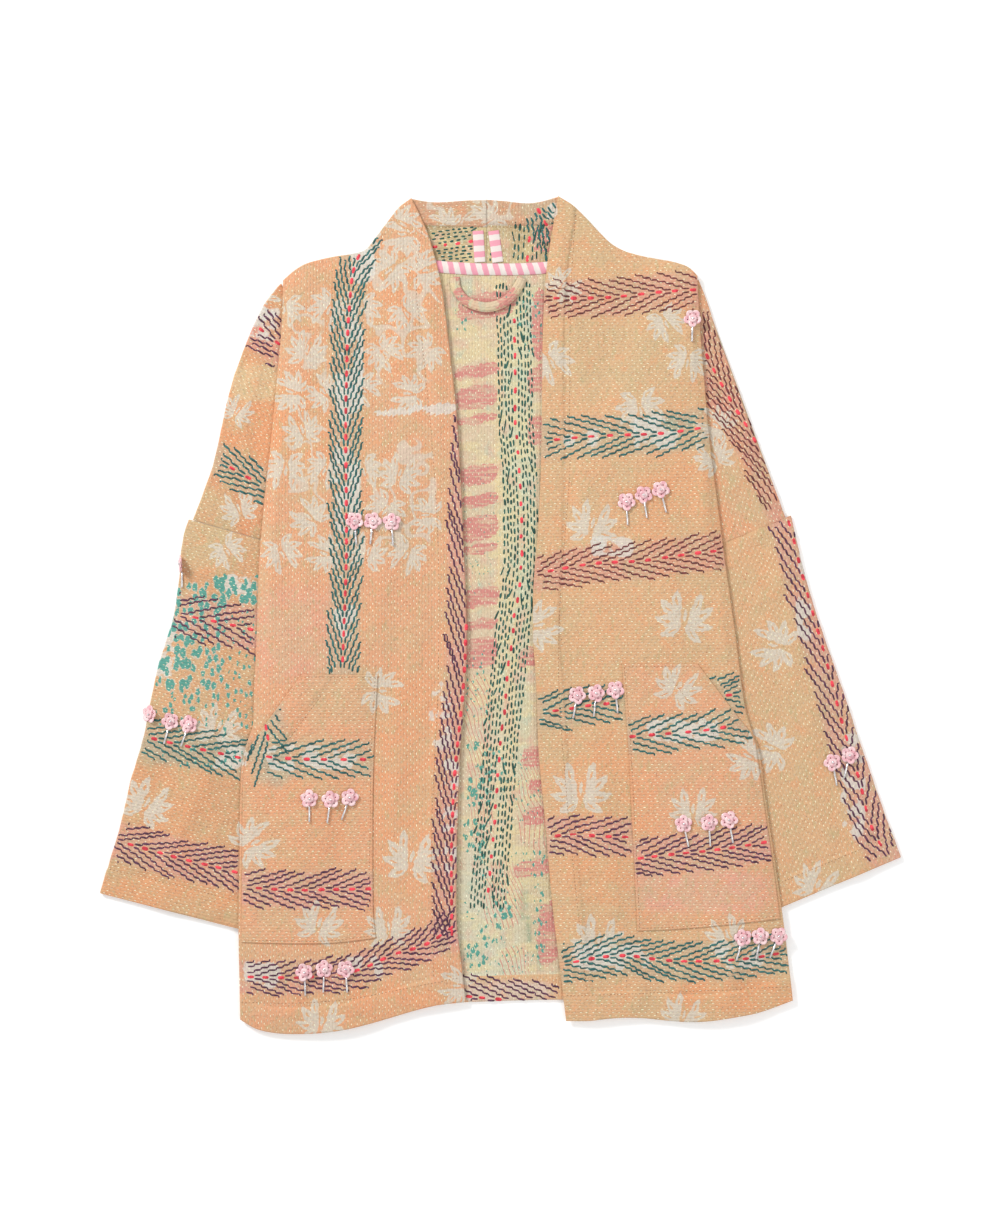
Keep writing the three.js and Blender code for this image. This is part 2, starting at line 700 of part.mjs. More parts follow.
// One closed loop of a flattened sleeve, as shares across the section and heights between its two skins
function sleeveLoop(section, inset) {
  const width = Math.hypot(section.outerX - section.innerX, section.outerY - section.innerY);
  const radius = SLEEVE_HEIGHT / 2;
  const loop = [];
  const add = (distance, high, turnOfFold) => {
    const share = distance / width;
    const x = lerp(section.outerX, section.innerX, share);
    const y = lerp(section.outerY, section.innerY, share);
    const top = high > 0 ? sleeveHeight(x, y) - SLEEVE_HEIGHT : 0;
    const round = turnOfFold === undefined ? Math.sign(high) : turnOfFold;
    loop.push([x, y, radius + (radius - inset) * round + top * Math.max(0, round)]);
  };
  for (let i = 0; i <= SLEEVE_CELLS; i += 1) {
    add(lerp(radius, width - radius, i / SLEEVE_CELLS), 1);
  }
  for (let i = 1; i < FOLD_STEPS; i += 1) {
    const angle = Math.PI / 2 - (i / FOLD_STEPS) * Math.PI;
    add(width - radius + (radius - inset) * Math.cos(angle), Math.sin(angle), Math.sin(angle));
  }
  for (let i = SLEEVE_CELLS; i >= 0; i -= 1) {
    add(lerp(radius, width - radius, i / SLEEVE_CELLS), -1);
  }
  for (let i = 1; i < FOLD_STEPS; i += 1) {
    const angle = (i / FOLD_STEPS) * Math.PI - Math.PI / 2;
    add(radius - (radius - inset) * Math.cos(angle), Math.sin(angle), Math.sin(angle));
  }
  return loop;
}

// A tube of cloth laid flat, open at both ends, through its sections
function sleeveGeometry(sections) {
  const outerCurve = spline(sections.map((row) => ({ x: row.outerX, y: row.outerY })));
  const innerCurve = spline(sections.map((row) => ({ x: row.innerX, y: row.innerY })));
  const count = cells(outerCurve.getLength());
  const loops = [];
  for (let i = 0; i <= count; i += 1) {
    const outer = outerCurve.getPoint(i / count);
    const inner = innerCurve.getPoint(i / count);
    const section = { outerX: outer.x, outerY: outer.y, innerX: inner.x, innerY: inner.y };
    loops.push({ skin: sleeveLoop(section, 0), lining: sleeveLoop(section, WALL) });
  }
  const size = loops[0].skin.length;
  const points = loops.flatMap(({ skin, lining }) => [...skin, ...lining]);
  const skin = (row, i) => row * 2 * size + (i % size);
  const lining = (row, i) => skin(row, i) + size;
  const index = [];
  const quad = (a, b, c, d) => index.push(a, b, c, a, c, d);
  for (let i = 0; i < size; i += 1) {
    for (let row = 0; row < count; row += 1) {
      quad(skin(row, i), skin(row, i + 1), skin(row + 1, i + 1), skin(row + 1, i));
      quad(lining(row, i), lining(row + 1, i), lining(row + 1, i + 1), lining(row, i + 1));
    }
    quad(skin(0, i), lining(0, i), lining(0, i + 1), skin(0, i + 1));
    quad(skin(count, i), skin(count, i + 1), lining(count, i + 1), lining(count, i));
  }
  return facesOut(points, index);
}

// A flat strip of an even width along a line of points
function stripGeometry(rows, width, underside, wall, steps, across) {
  const curve = spline(rows);
  const lower = [];
  const upper = [];
  for (let i = 0; i <= steps; i += 1) {
    const share = i / steps;
    const middle = curve.getPointAt(share);
    const along = curve.getTangentAt(share);
    const low = [];
    const high = [];
    for (let j = 0; j <= across; j += 1) {
      const offset = width * (j / across - 0.5);
      const x = middle.x - along.y * offset;
      const y = middle.y + along.x * offset;
      const crown = Math.sin((Math.PI * j) / across);
      const z = underside(x, y, share);
      low.push([x, y, z]);
      high.push([x, y, z + wall * lerp(TAPE_EDGE, 1, crown)]);
    }
    lower.push(low);
    upper.push(high);
  }
  return wallGeometry(lower, upper);
}

// The candy-stripe binding over the neck seam. It stops short of the folds at the sides of the neck.
function bindingGeometry() {
  const curve = spline(NECK_SEAM);
  const rows = BINDING_SHARES.map((share) => curve.getPointAt(share));
  return stripGeometry(rows, BINDING_WIDTH, () => WALL + SEAM_GAP, BINDING_WALL, 16, 4);
}

function tapeGeometry({ footX, headX }) {
  const rows = [
    { x: footX, y: TAPES.foot },
    { x: headX, y: TAPES.head },
  ];
  return stripGeometry(rows, TAPE_WIDTH, () => WALL + SEAM_GAP, TAPE_WALL, 4, 4);
}

function hangerLoopGeometry() {
  const underside = (x, y, share) => WALL + SEAM_GAP + LOOP_ARCH * Math.sin(Math.PI * share);
  return stripGeometry(HANGER_LOOP, LOOP_WIDTH, underside, LOOP_WALL, 22, 4);
}

function piece(name, geometry, color) {
  const material = new THREE.MeshStandardMaterial({ color, roughness: CLOTH_ROUGHNESS, metalness: 0 });
  const mesh = new THREE.Mesh(geometry, material);
  mesh.name = name;
  return mesh;
}

const rightFront = frontSkins(RIGHT_FRONT, false);
const leftFront = frontSkins(LEFT_FRONT, true);

const jacket = new THREE.Group();
jacket.add(
  piece("back", backGeometry(), CLOTH_CREAM),
  piece("front_right", wallGeometry(rightFront.lower, rightFront.upper), CLOTH_PEACH),
  piece("front_left", wallGeometry(leftFront.lower, leftFront.upper), CLOTH_PEACH),
  piece("collar_back_right", collarGeometry(-1, COLLAR_END_RIGHT), CLOTH_CREAM),
  piece("collar_back_left", collarGeometry(1, COLLAR_END_LEFT), CLOTH_CREAM),
  piece("sleeve_upper_right", sleeveGeometry(RIGHT_SLEEVE_UPPER), CLOTH_PEACH),
  piece("sleeve_lower_right", sleeveGeometry(RIGHT_SLEEVE_LOWER), CLOTH_PEACH),
  piece("sleeve_upper_left", sleeveGeometry(LEFT_SLEEVE_UPPER), CLOTH_PEACH),
  piece("sleeve_lower_left", sleeveGeometry(LEFT_SLEEVE_LOWER), CLOTH_PEACH),
  piece("pocket_right", pocketGeometry(RIGHT_POCKET, rightFront), CLOTH_PEACH),
  piece("pocket_left", pocketGeometry(LEFT_POCKET, leftFront), CLOTH_PEACH),
  piece("neck_binding", bindingGeometry(), TAPE_PINK),
  piece("seam_tape_right", tapeGeometry(TAPES.right), TAPE_PINK),
  piece("seam_tape_left", tapeGeometry(TAPES.left), TAPE_PINK),
  piece("hanger_loop", hangerLoopGeometry(), CLOTH_CREAM),
);

export default jacket;
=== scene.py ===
"""Looks of a hand-quilted sequin jacket that lies flat and open, face up.

Each panel is a thin shell of cloth on the skin of its own solid, with its own creases. The running stitches
of the quilting, the embroidered chevrons, the topstitching, the sequin flowers and their bead stems are small
meshes on it. The prints and the weave are in the materials. Lengths are in millimetres, and MM turns them to
metres. Colours are sRGB from 0 to 255. "Right" and "left" are the wearer's, so right is at negative X.
"""

import math
from typing import NamedTuple

import bpy
import numpy as np
from mathutils import Matrix, Vector
from mathutils.bvhtree import BVHTree


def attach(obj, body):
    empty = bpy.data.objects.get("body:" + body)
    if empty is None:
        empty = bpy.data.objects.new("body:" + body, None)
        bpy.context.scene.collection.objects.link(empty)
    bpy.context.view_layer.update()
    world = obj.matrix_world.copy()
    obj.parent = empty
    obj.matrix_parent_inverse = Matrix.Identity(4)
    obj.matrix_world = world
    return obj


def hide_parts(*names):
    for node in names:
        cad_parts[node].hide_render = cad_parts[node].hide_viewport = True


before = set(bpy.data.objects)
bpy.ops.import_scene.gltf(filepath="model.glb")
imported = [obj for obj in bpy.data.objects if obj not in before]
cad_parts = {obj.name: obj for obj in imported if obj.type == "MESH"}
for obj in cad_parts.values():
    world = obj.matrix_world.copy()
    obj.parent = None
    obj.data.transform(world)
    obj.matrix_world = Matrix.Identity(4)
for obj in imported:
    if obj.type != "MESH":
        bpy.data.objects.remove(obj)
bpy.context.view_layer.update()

MM = 0.001
RANDOM = np.random.default_rng(7)

# Photograph: its frame covers this height of the surface, and the jacket is in the middle of it
VIEW_HEIGHT = 1230
LENS = 100.0
SENSOR = 36.0
SURFACE_DROP = 0.7  # the surface lies this far under the cloth, for the stitches on the underside
SURFACE_REACH = 4000
WORLD_LIGHT = 0.645
SURFACE_GLOW = 0.17

# Cloth
CLOTH = 1.25  # thickness
TAPE = 0.75
TURN = 26.0  # width of the turned-in hems and edges
TURN_BLUR = 1.5
DOUBLE = 0.95  # how much thicker the cloth is where it is turned in
DEEPEST = -0.3  # how far a crease may go into the solid
SLEEVE_HEIGHT = 4.0
RIM = 1.4  # rounding of a cut or folded edge
CELL = 3.4  # size of a shell's faces
BACK_CELL = 4.0
POCKET_CELL = 3.0
TAPE_CELLS = (1.8, 0.9)
EDGE_STEPS = (0.0, 0.35, 0.9, 1.8)  # where a shell's points lie near an edge
SEAM_STEPS = (-2.4, -1.2, 0.0, 1.2, 2.4)  # and near a turned edge's seam
CLOSEST = 0.3  # least distance between them

# Running stitches and topstitching
ROW_PITCH = 3.1  # distance between two rows of running stitches
STITCH_PITCH = 6.5  # from one running stitch to the next in its row
STITCH_LENGTH = 2.7
STITCH_WIDTH = 0.9
STITCH_HEIGHT = 0.3
STITCH_DEPTH = 0.12  # how far a stitch's ends go into the cloth
TOP_PITCH = 3.6
TOP_LENGTH = 2.6
TOP_WIDTH = 0.7
TOP_HEIGHT = 0.25

# Embroidery: the thread follows one row of the quilting for a run, then steps to the next
RUN = 6.8
STEEP_RUN = 8.6
CORNER_RUN = 4.6
RISE = 2.7
LEAD = 10.0  # a leg may run this far past the start of its line
THREAD = 2.5
THREAD_WIDTHS = {"teal": 1.0, "plum": 0.92, "maroon": 0.82}
THREAD_HEIGHT = 0.7
STEP_HEIGHT = 0.6  # of the short stitch from one row to the next
DASH_HEIGHT = 0.5
CENTRE_STITCH = 6.6
CENTRE_WIDTH = 3.7
CENTRE_HEIGHT = 0.8
CENTRE_GAP = 1.7  # from the middle of a band to where its legs start
# Cloth colour under each band: partly its own tint, partly painted shade between the dense threads.
BAND_TINTS_AND_SHADE = {"teal": (192, 176, 150), "maroon": (214, 152, 140), "plum": (214, 158, 150)}

# Prints
LOBES_A_RADIAN = 1.55
STRIPE_PITCH = 11.4
LINE_PITCH = 4.2  # of the thin pink lines inside
BLOCK_SLANT = 0.16  # the left column of pink blocks rises this much to the right
BLOCK_MIDDLE = -22.0
VINE_STEP = 40.0

# Flowers
SEQUIN_RADIUS = 4.1
SEQUIN_HOLE = 0.3
SEQUIN_SIDES = 16
# Painted shade round each sequin's hole reaches out to this radius.
HOLE_SHADE_RADIUS = 0.75
PETALS = 5
PETAL_RING = 5.1
PETAL_HEIGHTS = (0.5, 0.92)  # of every other sequin over the flower's foot
FOOT_HEIGHT = 0.9
FLOWER_REACH = 9.5  # a tilted flower's foot is lifted so that none of it goes under the surface
TOP_SEQUIN = 1.6  # height of the sixth sequin over the flower's foot
HEART_HEIGHT = 2.9
STEM_START = 8.0  # from the flower's middle
STEM_LENGTH = 15.5
STEM_RADIUS = 1.0
STEM_GAP = 0.35  # from the cloth
HEART_RADIUS = 0.85
BEAD_SIDES = 10
BEAD_HOLE = 0.4  # as a share of the bead's radius


def linear(shade):
    """An sRGB colour as linear light."""
    share = np.array(shade, float) / 255
    return np.where(share <= 0.04045, share / 12.92, ((share + 0.055) / 1.055) ** 2.4)


PEACH = (226, 168, 130)
COLLAR = (206, 160, 130)
SAND = (221, 175, 133)
APRICOT = (231, 163, 118)
RUSSET = (220, 155, 114)
TAN = (212, 163, 122)
ROSE = (228, 166, 144)
SAGE = (203, 183, 142)
OLIVE = (188, 178, 132)
LEAF = (214, 203, 186)
ICE = (218, 216, 208)
CREAM = (218, 195, 165)
OLD_CREAM = (190, 166, 126)
PALE = (222, 208, 182)
BLUSH = (212, 142, 132)
BRIGHT_TEAL = (66, 156, 142)
TAPE_PINK = (236, 160, 176)
TAPE_WHITE = (234, 223, 216)
THREAD_COLOURS = {
    "white": (251, 228, 196),
    "teal": (34, 95, 92),
    "forest": (24, 82, 70),
    "plum": (84, 38, 66),
    "maroon": (108, 44, 46),
    "red": (236, 58, 74),
    "topstitch": (150, 96, 62),
    # Painted shade in the sequins' holes: a dark ring round each hole and on the hole's inner wall.
    "eyelet": (150, 70, 84),
}


# Camera, light and surface


def placed(name, data):
    made = bpy.data.objects.new(name, data)
    bpy.context.scene.collection.objects.link(made)
    return made


def new_mesh(name, points, faces, *materials):
    """The object of a smooth mesh, from points in mm."""
    mesh = bpy.data.meshes.new(name)
    mesh.from_pydata((np.array(points) * MM).tolist(), [], faces)
    mesh.polygons.foreach_set("use_smooth", np.ones(len(faces), bool))
    for material in materials:
        mesh.materials.append(material)
    return placed(name, mesh)


def make_camera():
    data = bpy.data.cameras.new("camera")
    data.lens = LENS
    data.sensor_width = SENSOR
    data.clip_end = 100
    camera = placed("camera", data)
    camera.location = (0, 0, VIEW_HEIGHT * MM * LENS / SENSOR)
    bpy.context.scene.camera = camera


def make_light(name, place, size, power, colour):
    data = bpy.data.lights.new(name, "AREA")
    data.shape = "DISK"
    data.size = size
    data.energy = power
    data.color = colour
    light = placed(name, data)
    light.location = place
    light.rotation_euler = (-Vector(place)).to_track_quat("-Z", "Y").to_euler()


def make_surroundings():
    world = bpy.data.worlds.new("studio")
    world.use_nodes = True
    background = world.node_tree.nodes["Background"]
    background.inputs["Color"].default_value = (1, 1, 1, 1)
    background.inputs["Strength"].default_value = WORLD_LIGHT
    bpy.context.scene.world = world
    bpy.context.scene.view_settings.view_transform = "Standard"
    make_light("key", (-2.2, 2.2, 2.2), 1.0, 91, (0.985, 0.985, 0.98))
    make_light("fill", (1.6, -0.6, 2.2), 1.6, 13, (0.97, 0.985, 1))
    glow = {"Roughness": 0.9, "Emission Color": (1, 1, 1, 1), "Emission Strength": SURFACE_GLOW}
    white = Graph("floor_white", glow).finish((0.955, 0.955, 0.95))
    corners = [(-1, -1), (1, -1), (1, 1), (-1, 1)]
    points = [(x * SURFACE_REACH, y * SURFACE_REACH, -SURFACE_DROP) for x, y in corners]
    new_mesh("floor", points, [(0, 1, 2, 3)], white)


# Materials


class Value:
    """What a material's node gives, to be used in sums and products."""

    def __init__(self, graph, socket):
        self.graph = graph
        self.socket = socket

    def __add__(self, other):
        return self.graph.math("ADD", self, other)

    def __sub__(self, other):
        return self.graph.math("SUBTRACT", self, other)

    def __mul__(self, other):
        return self.graph.math("MULTIPLY", self, other)

    def __truediv__(self, other):
        return self.graph.math("DIVIDE", self, other)

    def __abs__(self):
        return self.graph.math("ABSOLUTE", self)


class Graph:
    """The nodes of one material, joined by short calls. An input is a number, a colour or a Value."""

    def __init__(self, name, values):
        self.material = bpy.data.materials.new(name)
        self.material.use_nodes = True
        self.tree = self.material.node_tree
        self.shader = self.tree.nodes["Principled BSDF"]
        for socket, value in values.items():
            self.shader.inputs[socket].default_value = value

    def put(self, socket, value):
        if isinstance(value, Value):
            self.tree.links.new(value.socket, socket)
        elif isinstance(value, tuple) and len(socket.default_value) == 4:
            socket.default_value = (*value, 1)
        else:
            socket.default_value = value

    def node(self, kind, inputs, settings=(), output=0):
        node = self.tree.nodes.new("ShaderNode" + kind)
        for name, value in settings:
            setattr(node, name, value)
        for key, value in inputs.items():
            self.put(node.inputs[key], value)
        return Value(self, node.outputs[output])

    def math(self, operation, *values):
        return self.node("Math", dict(enumerate(values)), [("operation", operation)])

    def ramp(self, value, low, high):
        """0 where the value is at low, 1 where it is at high, smooth between them."""
        inputs = {"Value": value, "From Min": low, "From Max": high}
        return self.node("MapRange", inputs, [("interpolation_type", "SMOOTHSTEP")])

    def mix(self, share, a, b, blend="MIX"):
        return self.node("Mix", {0: share, 6: a, 7: b}, [("data_type", "RGBA"), ("blend_type", blend)], 2)

    def uv(self, name):
        return self.node("UVMap", {}, [("uv_map", name)])

    def attribute(self, name):
        return self.node("Attribute", {}, [("attribute_name", name)], "Color")

    def place(self):
        return self.node("TexCoord", {}, output="Object")

    def split(self, vector):
        first = self.node("SeparateXYZ", {0: vector})
        return tuple(Value(self, socket) for socket in first.socket.node.outputs)

    def join(self, x, y, z):
        return self.node("CombineXYZ", {0: x, 1: y, 2: z})

    def scaled(self, vector, x, y):
        return self.node("Mapping", {"Vector": vector, "Scale": (x, y, 1.0)})

    def noise(self, scale, detail=2.0, stretch=None, vector=None, output="Fac"):
        """Noise over the object, or over another vector. A stretch under 1 makes it longer that way."""
        vector = vector or self.place()
        if stretch:
            vector = self.scaled(vector, *stretch)
        return self.node("TexNoise", {"Vector": vector, "Scale": scale, "Detail": detail}, output=output)

    def cells(self, vector, scale):
        settings = [("voronoi_dimensions", "2D")]
        return self.node("TexVoronoi", {"Vector": vector, "Scale": scale}, settings, "Distance")

    def bump(self, height, strength, distance):
        inputs = {"Strength": strength, "Distance": distance * MM, "Height": height}
        self.put(self.shader.inputs["Normal"], self.node("Bump", inputs))

    def finish(self, colour):
        self.put(self.shader.inputs["Base Color"], colour)
        return self.material

    def speckled(self, scale, detail, low, dark, light):
        """Finishes with two shades in soft patches."""
        return self.finish(self.mix(self.ramp(self.noise(scale, detail), low, 1 - low), dark, light))


def colour(shade):
    """An sRGB colour for a node."""
    return tuple(float(x) for x in linear(shade))


def sine(value, pitch):
    """A wave of the value with this distance between its tops."""
    return value.graph.math("SINE", value * (2 * math.pi / pitch))


def ellipse(along, half_length, across, half_width):
    """1 on an ellipse's edge, less inside it."""
    along, across = along / half_length, across / half_width
    return along * along + across * across


def quilting_height(graph):
    """Relief of the quilting, from 0 in the rows of stitches to 1 between them, drawn in at each stitch."""
    across, along, _ = graph.split(graph.uv("quilt"))
    half_steps = graph.math("FLOOR", across / ROW_PITCH) * (STITCH_PITCH / 2)
    puffed = sine(along + half_steps, STITCH_PITCH) * 0.3 + 0.7
    return abs(sine(across, 2 * ROW_PITCH)) * puffed


def quilted(graph, base):
    """Finishes a cloth: puffed rows with painted shade in their grooves at the stitches, with crumples, small
    ripples and the weave.
    """
    quilting = quilting_height(graph)
    ripple = graph.noise(1.0, 2, (0.09, 0.3), graph.uv("quilt"))
    height = quilting * 0.7 + graph.noise(240, 3) * 1.2 + ripple * 1.5 + graph.noise(1500, 1) * 0.45
    graph.bump(height, 0.85, 0.75)
    # Painted shade: the colour is darkened a little in the grooves of the quilting's rows.
    shade = graph.ramp(quilting, 0.0, 0.5) * 0.06 + 0.94
    return graph.finish(graph.mix(1.0, base, graph.join(shade, shade, shade), "MULTIPLY"))


def layered(graph, base, layers):
    """The base with noise of other colours over it, one layer after another."""
    for scale, detail, stretch, low, high, share, paint in layers:
        amount = graph.ramp(graph.noise(scale, detail, stretch), low, high)
        base = graph.mix(amount * share, base, colour(paint))
    return base


OUTER_LAYERS = [
    # noise's scale, detail and stretch, where it starts and is full, share, colour
    (45, 4, None, 0.42, 0.64, 0.4, SAGE),
    (85, 3, None, 0.5, 0.7, 0.45, APRICOT),
    (300, 2, (1.0, 0.36), 0.56, 0.68, 0.42, OLIVE),
    (800, 2, None, 0.42, 0.26, 1.0, (190, 128, 98)),
    (800, 2, None, 0.6, 0.72, 0.5, (240, 196, 160)),
    (560, 1, (1.0, 0.6), 0.74, 0.8, 0.6, (128, 104, 108)),
]
INNER_LAYERS = [
    (60, 4, None, 0.4, 0.64, 0.35, (204, 194, 150)),
    (80, 2, (0.3, 1.0), 0.46, 0.6, 0.5, (230, 212, 160)),
    (70, 3, (1.0, 0.6), 0.52, 0.7, 0.55, (222, 172, 152)),
    (120, 3, (1.0, 0.5), 0.56, 0.7, 0.4, (178, 200, 180)),
    (420, 2, None, 0.54, 0.7, 0.5, PALE),
    (800, 2, None, 0.42, 0.26, 0.7, (176, 140, 112)),
]


def leaf_mask(graph):
    """A pale palmette: two wings of pointed lobes that curve up round a channel, with a bud between them."""
    warp_x, warp_y, _ = graph.split(graph.noise(150, output="Color"))
    p, q, _ = graph.split(graph.uv("stamp"))
    p = (warp_x - 0.5) * 0.2 + p
    q = (warp_y - 0.5) * 0.2 + q
    radius = graph.math("SQRT", p * p + q * q)
    angle = abs(graph.math("ARCTAN2", q, p))
    lobe = graph.math("FRACT", (radius * 0.55 + angle) * LOBES_A_RADIAN)
    off_axis = abs(lobe * 2.0 - 1.0)
    reach = graph.math("POWER", off_axis, 1.2) * -0.42 + 1.0
    reach = reach - graph.ramp(angle, 2.72, 3.08) * 0.6
    fan = graph.ramp(reach - radius, -0.02, 0.03)
    open_eye = graph.ramp(ellipse(radius - 0.62, 0.15, off_axis * radius, 0.13), 0.6, 1.1)
    channel = graph.ramp(abs(q) - (p * 0.16 + 0.13), -0.03, 0.02)
    below = graph.ramp(p, -0.26, -0.34)
    wings = fan * open_eye * graph.math("MAXIMUM", channel, below)
    bud = graph.ramp(ellipse(p - 0.08, 0.2, q, 0.06), 1.15, 0.8)
    worn = graph.ramp(graph.noise(430, 3), 0.32, 0.52)
    return graph.math("MAXIMUM", wings, bud) * (worn * 0.3 + 0.62)


def sharpened(graph, mask, scale, detail=2.0, roughness=1.1):
    """A mask's own soft edge made crisp and irregular."""
    rough = graph.noise(scale, detail) * roughness - 0.5 * roughness
    return graph.ramp(mask + rough, 0.42, 0.56)


def blotted(graph, base, blots, squeeze, scale, growth, halo):
    """Teal blots with a wavering outline, longer along Y, in clumps, so that their region has no edge."""
    clumps = graph.ramp(graph.noise(62), 0.3, 0.56)
    blots = blots * (clumps * 0.6 + 0.5)
    x, y, _ = graph.split(graph.place())
    waver_x, waver_y, _ = graph.split(graph.noise(380, output="Color"))
    waver = 4.5 * MM
    wavering = graph.join(waver_x * waver + x, waver_y * waver + y, 0.0)
    inside = blots * growth - 0.04 - graph.cells(graph.scaled(wavering, 1.0, squeeze), scale)
    pale = graph.ramp(inside, -0.14, -0.04) * graph.ramp(blots, 0.4, 0.75)
    base = graph.mix(pale * halo, base, colour(ICE))
    blot = graph.ramp(inside, -0.03, 0.04) * graph.ramp(blots, 0.1, 0.3)
    return graph.mix(blot * 0.9, base, colour(BRIGHT_TEAL))


def outer_cloth():
    """Faded peach cotton printed with leaves. Its marks are teal blots, vines and pale cloth."""
    graph = Graph("outer_cloth", {"Roughness": 0.88, "Sheen Weight": 0.08, "Specular IOR Level": 0.2})
    blots, vines, pale = graph.split(graph.attribute("marks"))
    base = layered(graph, graph.attribute("tint"), OUTER_LAYERS)
    vine = graph.ramp(abs(graph.noise(30, 1) - 0.5), 0.034, 0.016) * graph.ramp(vines, 0.3, 0.6)
    base = graph.mix(graph.math("MAXIMUM", leaf_mask(graph), vine * 0.7), base, colour(LEAF))
    faded = sharpened(graph, pale, 62, 4, 2.6) * graph.ramp(pale, 0.15, 0.4)
    base = graph.mix(faded * 0.7, base, colour(ICE))
    return quilted(graph, blotted(graph, base, blots, 0.58, 150, 0.5, 0.45))


def inner_cloth():
    """The cream cotton inside. Its marks are teal blots, faded pink blocks and thin pink lines."""
    graph = Graph("inner_cloth", {"Roughness": 0.9, "Sheen Weight": 0.08, "Specular IOR Level": 0.2})
    blots, blocks, lines = graph.split(graph.attribute("marks_inside"))
    base = layered(graph, graph.attribute("tint_inside"), INNER_LAYERS)
    streak = graph.ramp(graph.noise(300, 2, (0.2, 1.8)), 0.4, 0.54)
    base = graph.mix(sharpened(graph, blocks, 260) * (streak * 0.6 + 0.4), base, colour(BLUSH))
    x, y, _ = graph.split(graph.place())
    slanted = graph.noise(16, 1) * 0.03 + x + y * 0.32
    thin = graph.ramp(sine(slanted, LINE_PITCH * MM), 0.72, 0.95) * graph.ramp(lines, 0.3, 0.6)
    base = graph.mix(thin * 0.75, base, colour((206, 118, 112)))
    return quilted(graph, blotted(graph, base, blots, 0.6, 180, 0.38, 0.0))


def stripe_tape(name, slant):
    """Woven tape striped across in pink and white."""
    graph = Graph(name, {"Roughness": 0.8})
    across, along, _ = graph.split(graph.uv("quilt"))
    wobble = graph.noise(300, 1) * 1.2 + across * slant + along
    stripe = graph.ramp(sine(wobble, STRIPE_PITCH), -0.18, 0.18)
    graph.bump(graph.noise(1600, 1), 0.5, 0.25)
    return graph.finish(graph.mix(stripe, colour(TAPE_PINK), colour(TAPE_WHITE)))


def thread_material(name, base):
    """Cotton thread: plies along it and a little unevenness of dye."""
    graph = Graph("thread_" + name, {"Roughness": 0.72, "Sheen Weight": 0.2})
    graph.bump(graph.noise(2600, 1), 0.5, 0.2)
    dark = tuple(x * 0.62 for x in base)
    light = tuple(min(1.0, x * 1.3 + 0.01) for x in base)
    return graph.speckled(260, 2, 0.35, dark, light)


MATERIALS = {}


def make_materials():
    MATERIALS["outer"] = outer_cloth()
    MATERIALS["inner"] = inner_cloth()
    MATERIALS["tape"] = stripe_tape("stripe_tape", 0.0)
    MATERIALS["tape_slanted"] = stripe_tape("stripe_tape_slanted", -0.3)
    for name, base in THREAD_COLOURS.items():
        MATERIALS[name] = thread_material(name, colour(base))
    gloss = {"Roughness": 0.32, "Coat Weight": 0.35, "Coat Roughness": 0.2, "Specular IOR Level": 0.6}
    pinks = colour((238, 176, 184)), colour((252, 220, 220))
    MATERIALS["sequin"] = Graph("sequin_pink", gloss).speckled(210, 1, 0.3, *pinks)
    glass = {"Roughness": 0.14, "Metallic": 0.55, "Coat Weight": 1.0}
    silvers = (0.62, 0.6, 0.62), (0.95, 0.93, 0.93)
    MATERIALS["bead"] = Graph("bead_silver", glass).speckled(500, 1, 0.3, *silvers)


# Reading the solids' skins


def skin(node, lowest=-1.0, least_slope=0.3):
    """The points of a wall's upper skin as a grid of rows and columns, read off the node's own triangles.

    Every cell is two triangles that share one diagonal, so two corners of the grid have a single triangle.
    The walk starts at such a corner: the triangle on each edge of a row holds the next row's point.
    """
    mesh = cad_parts[node].data
    mesh.calc_loop_triangles()
    points = np.array([v.co for v in mesh.vertices]) / MM
    _, first, merged = np.unique(np.round(points, 3), axis=0, return_index=True, return_inverse=True)
    points = points[first]
    triangles = merged.reshape(-1)[np.array([t.vertices for t in mesh.loop_triangles])]
    a, b, c = (points[triangles[:, i]] for i in range(3))
    normal = np.cross(b - a, c - a)
    normal /= np.maximum(np.linalg.norm(normal, axis=1, keepdims=True), 1e-12)
    kept = triangles[(normal[:, 2] > least_slope) & ((a + b + c)[:, 2] / 3 > lowest)]
    third = {}
    count = {}
    for i, j, k in kept.tolist():
        third[i, j] = k
        third[j, k] = i
        third[k, i] = j
        for corner in (i, j, k):
            count[corner] = count.get(corner, 0) + 1
    following = {i: j for i, j in third if (j, i) not in third}
    start = min(i for i in following if count[i] == 1)
    loop = [start]
    while following[loop[-1]] != start:
        loop.append(following[loop[-1]])
    corners = [n for n, i in enumerate(loop) if count[i] <= 2]
    row = loop[: corners[1] + 1]
    far_side = loop[corners[1] : corners[2] + 1]
    rows = [row]
    for end in far_side[1:]:
        row = [third[i, j] for i, j in zip(row, row[1:])] + [end]
        rows.append(row)
    return points[np.array(rows)]


def laid_out(grid):
    """The grid with its rows from low to high Y and its columns from low to high X."""
    ends = grid[-1].mean(0) - grid[0].mean(0)
    if abs(ends[1]) < abs(ends[0]):
        grid = grid.transpose(1, 0, 2)
    if grid[-1, :, 1].mean() < grid[0, :, 1].mean():
        grid = grid[::-1]
    if grid[:, -1, 0].mean() < grid[:, 0, 0].mean():
        grid = grid[:, ::-1]
    return grid


def lengths(grid, axis):
    """Mean distance of each row, or column, from the first."""
    steps = np.linalg.norm(np.diff(grid, axis=axis), axis=2).mean(1 - axis)
    return np.concatenate([[0], np.cumsum(steps)])


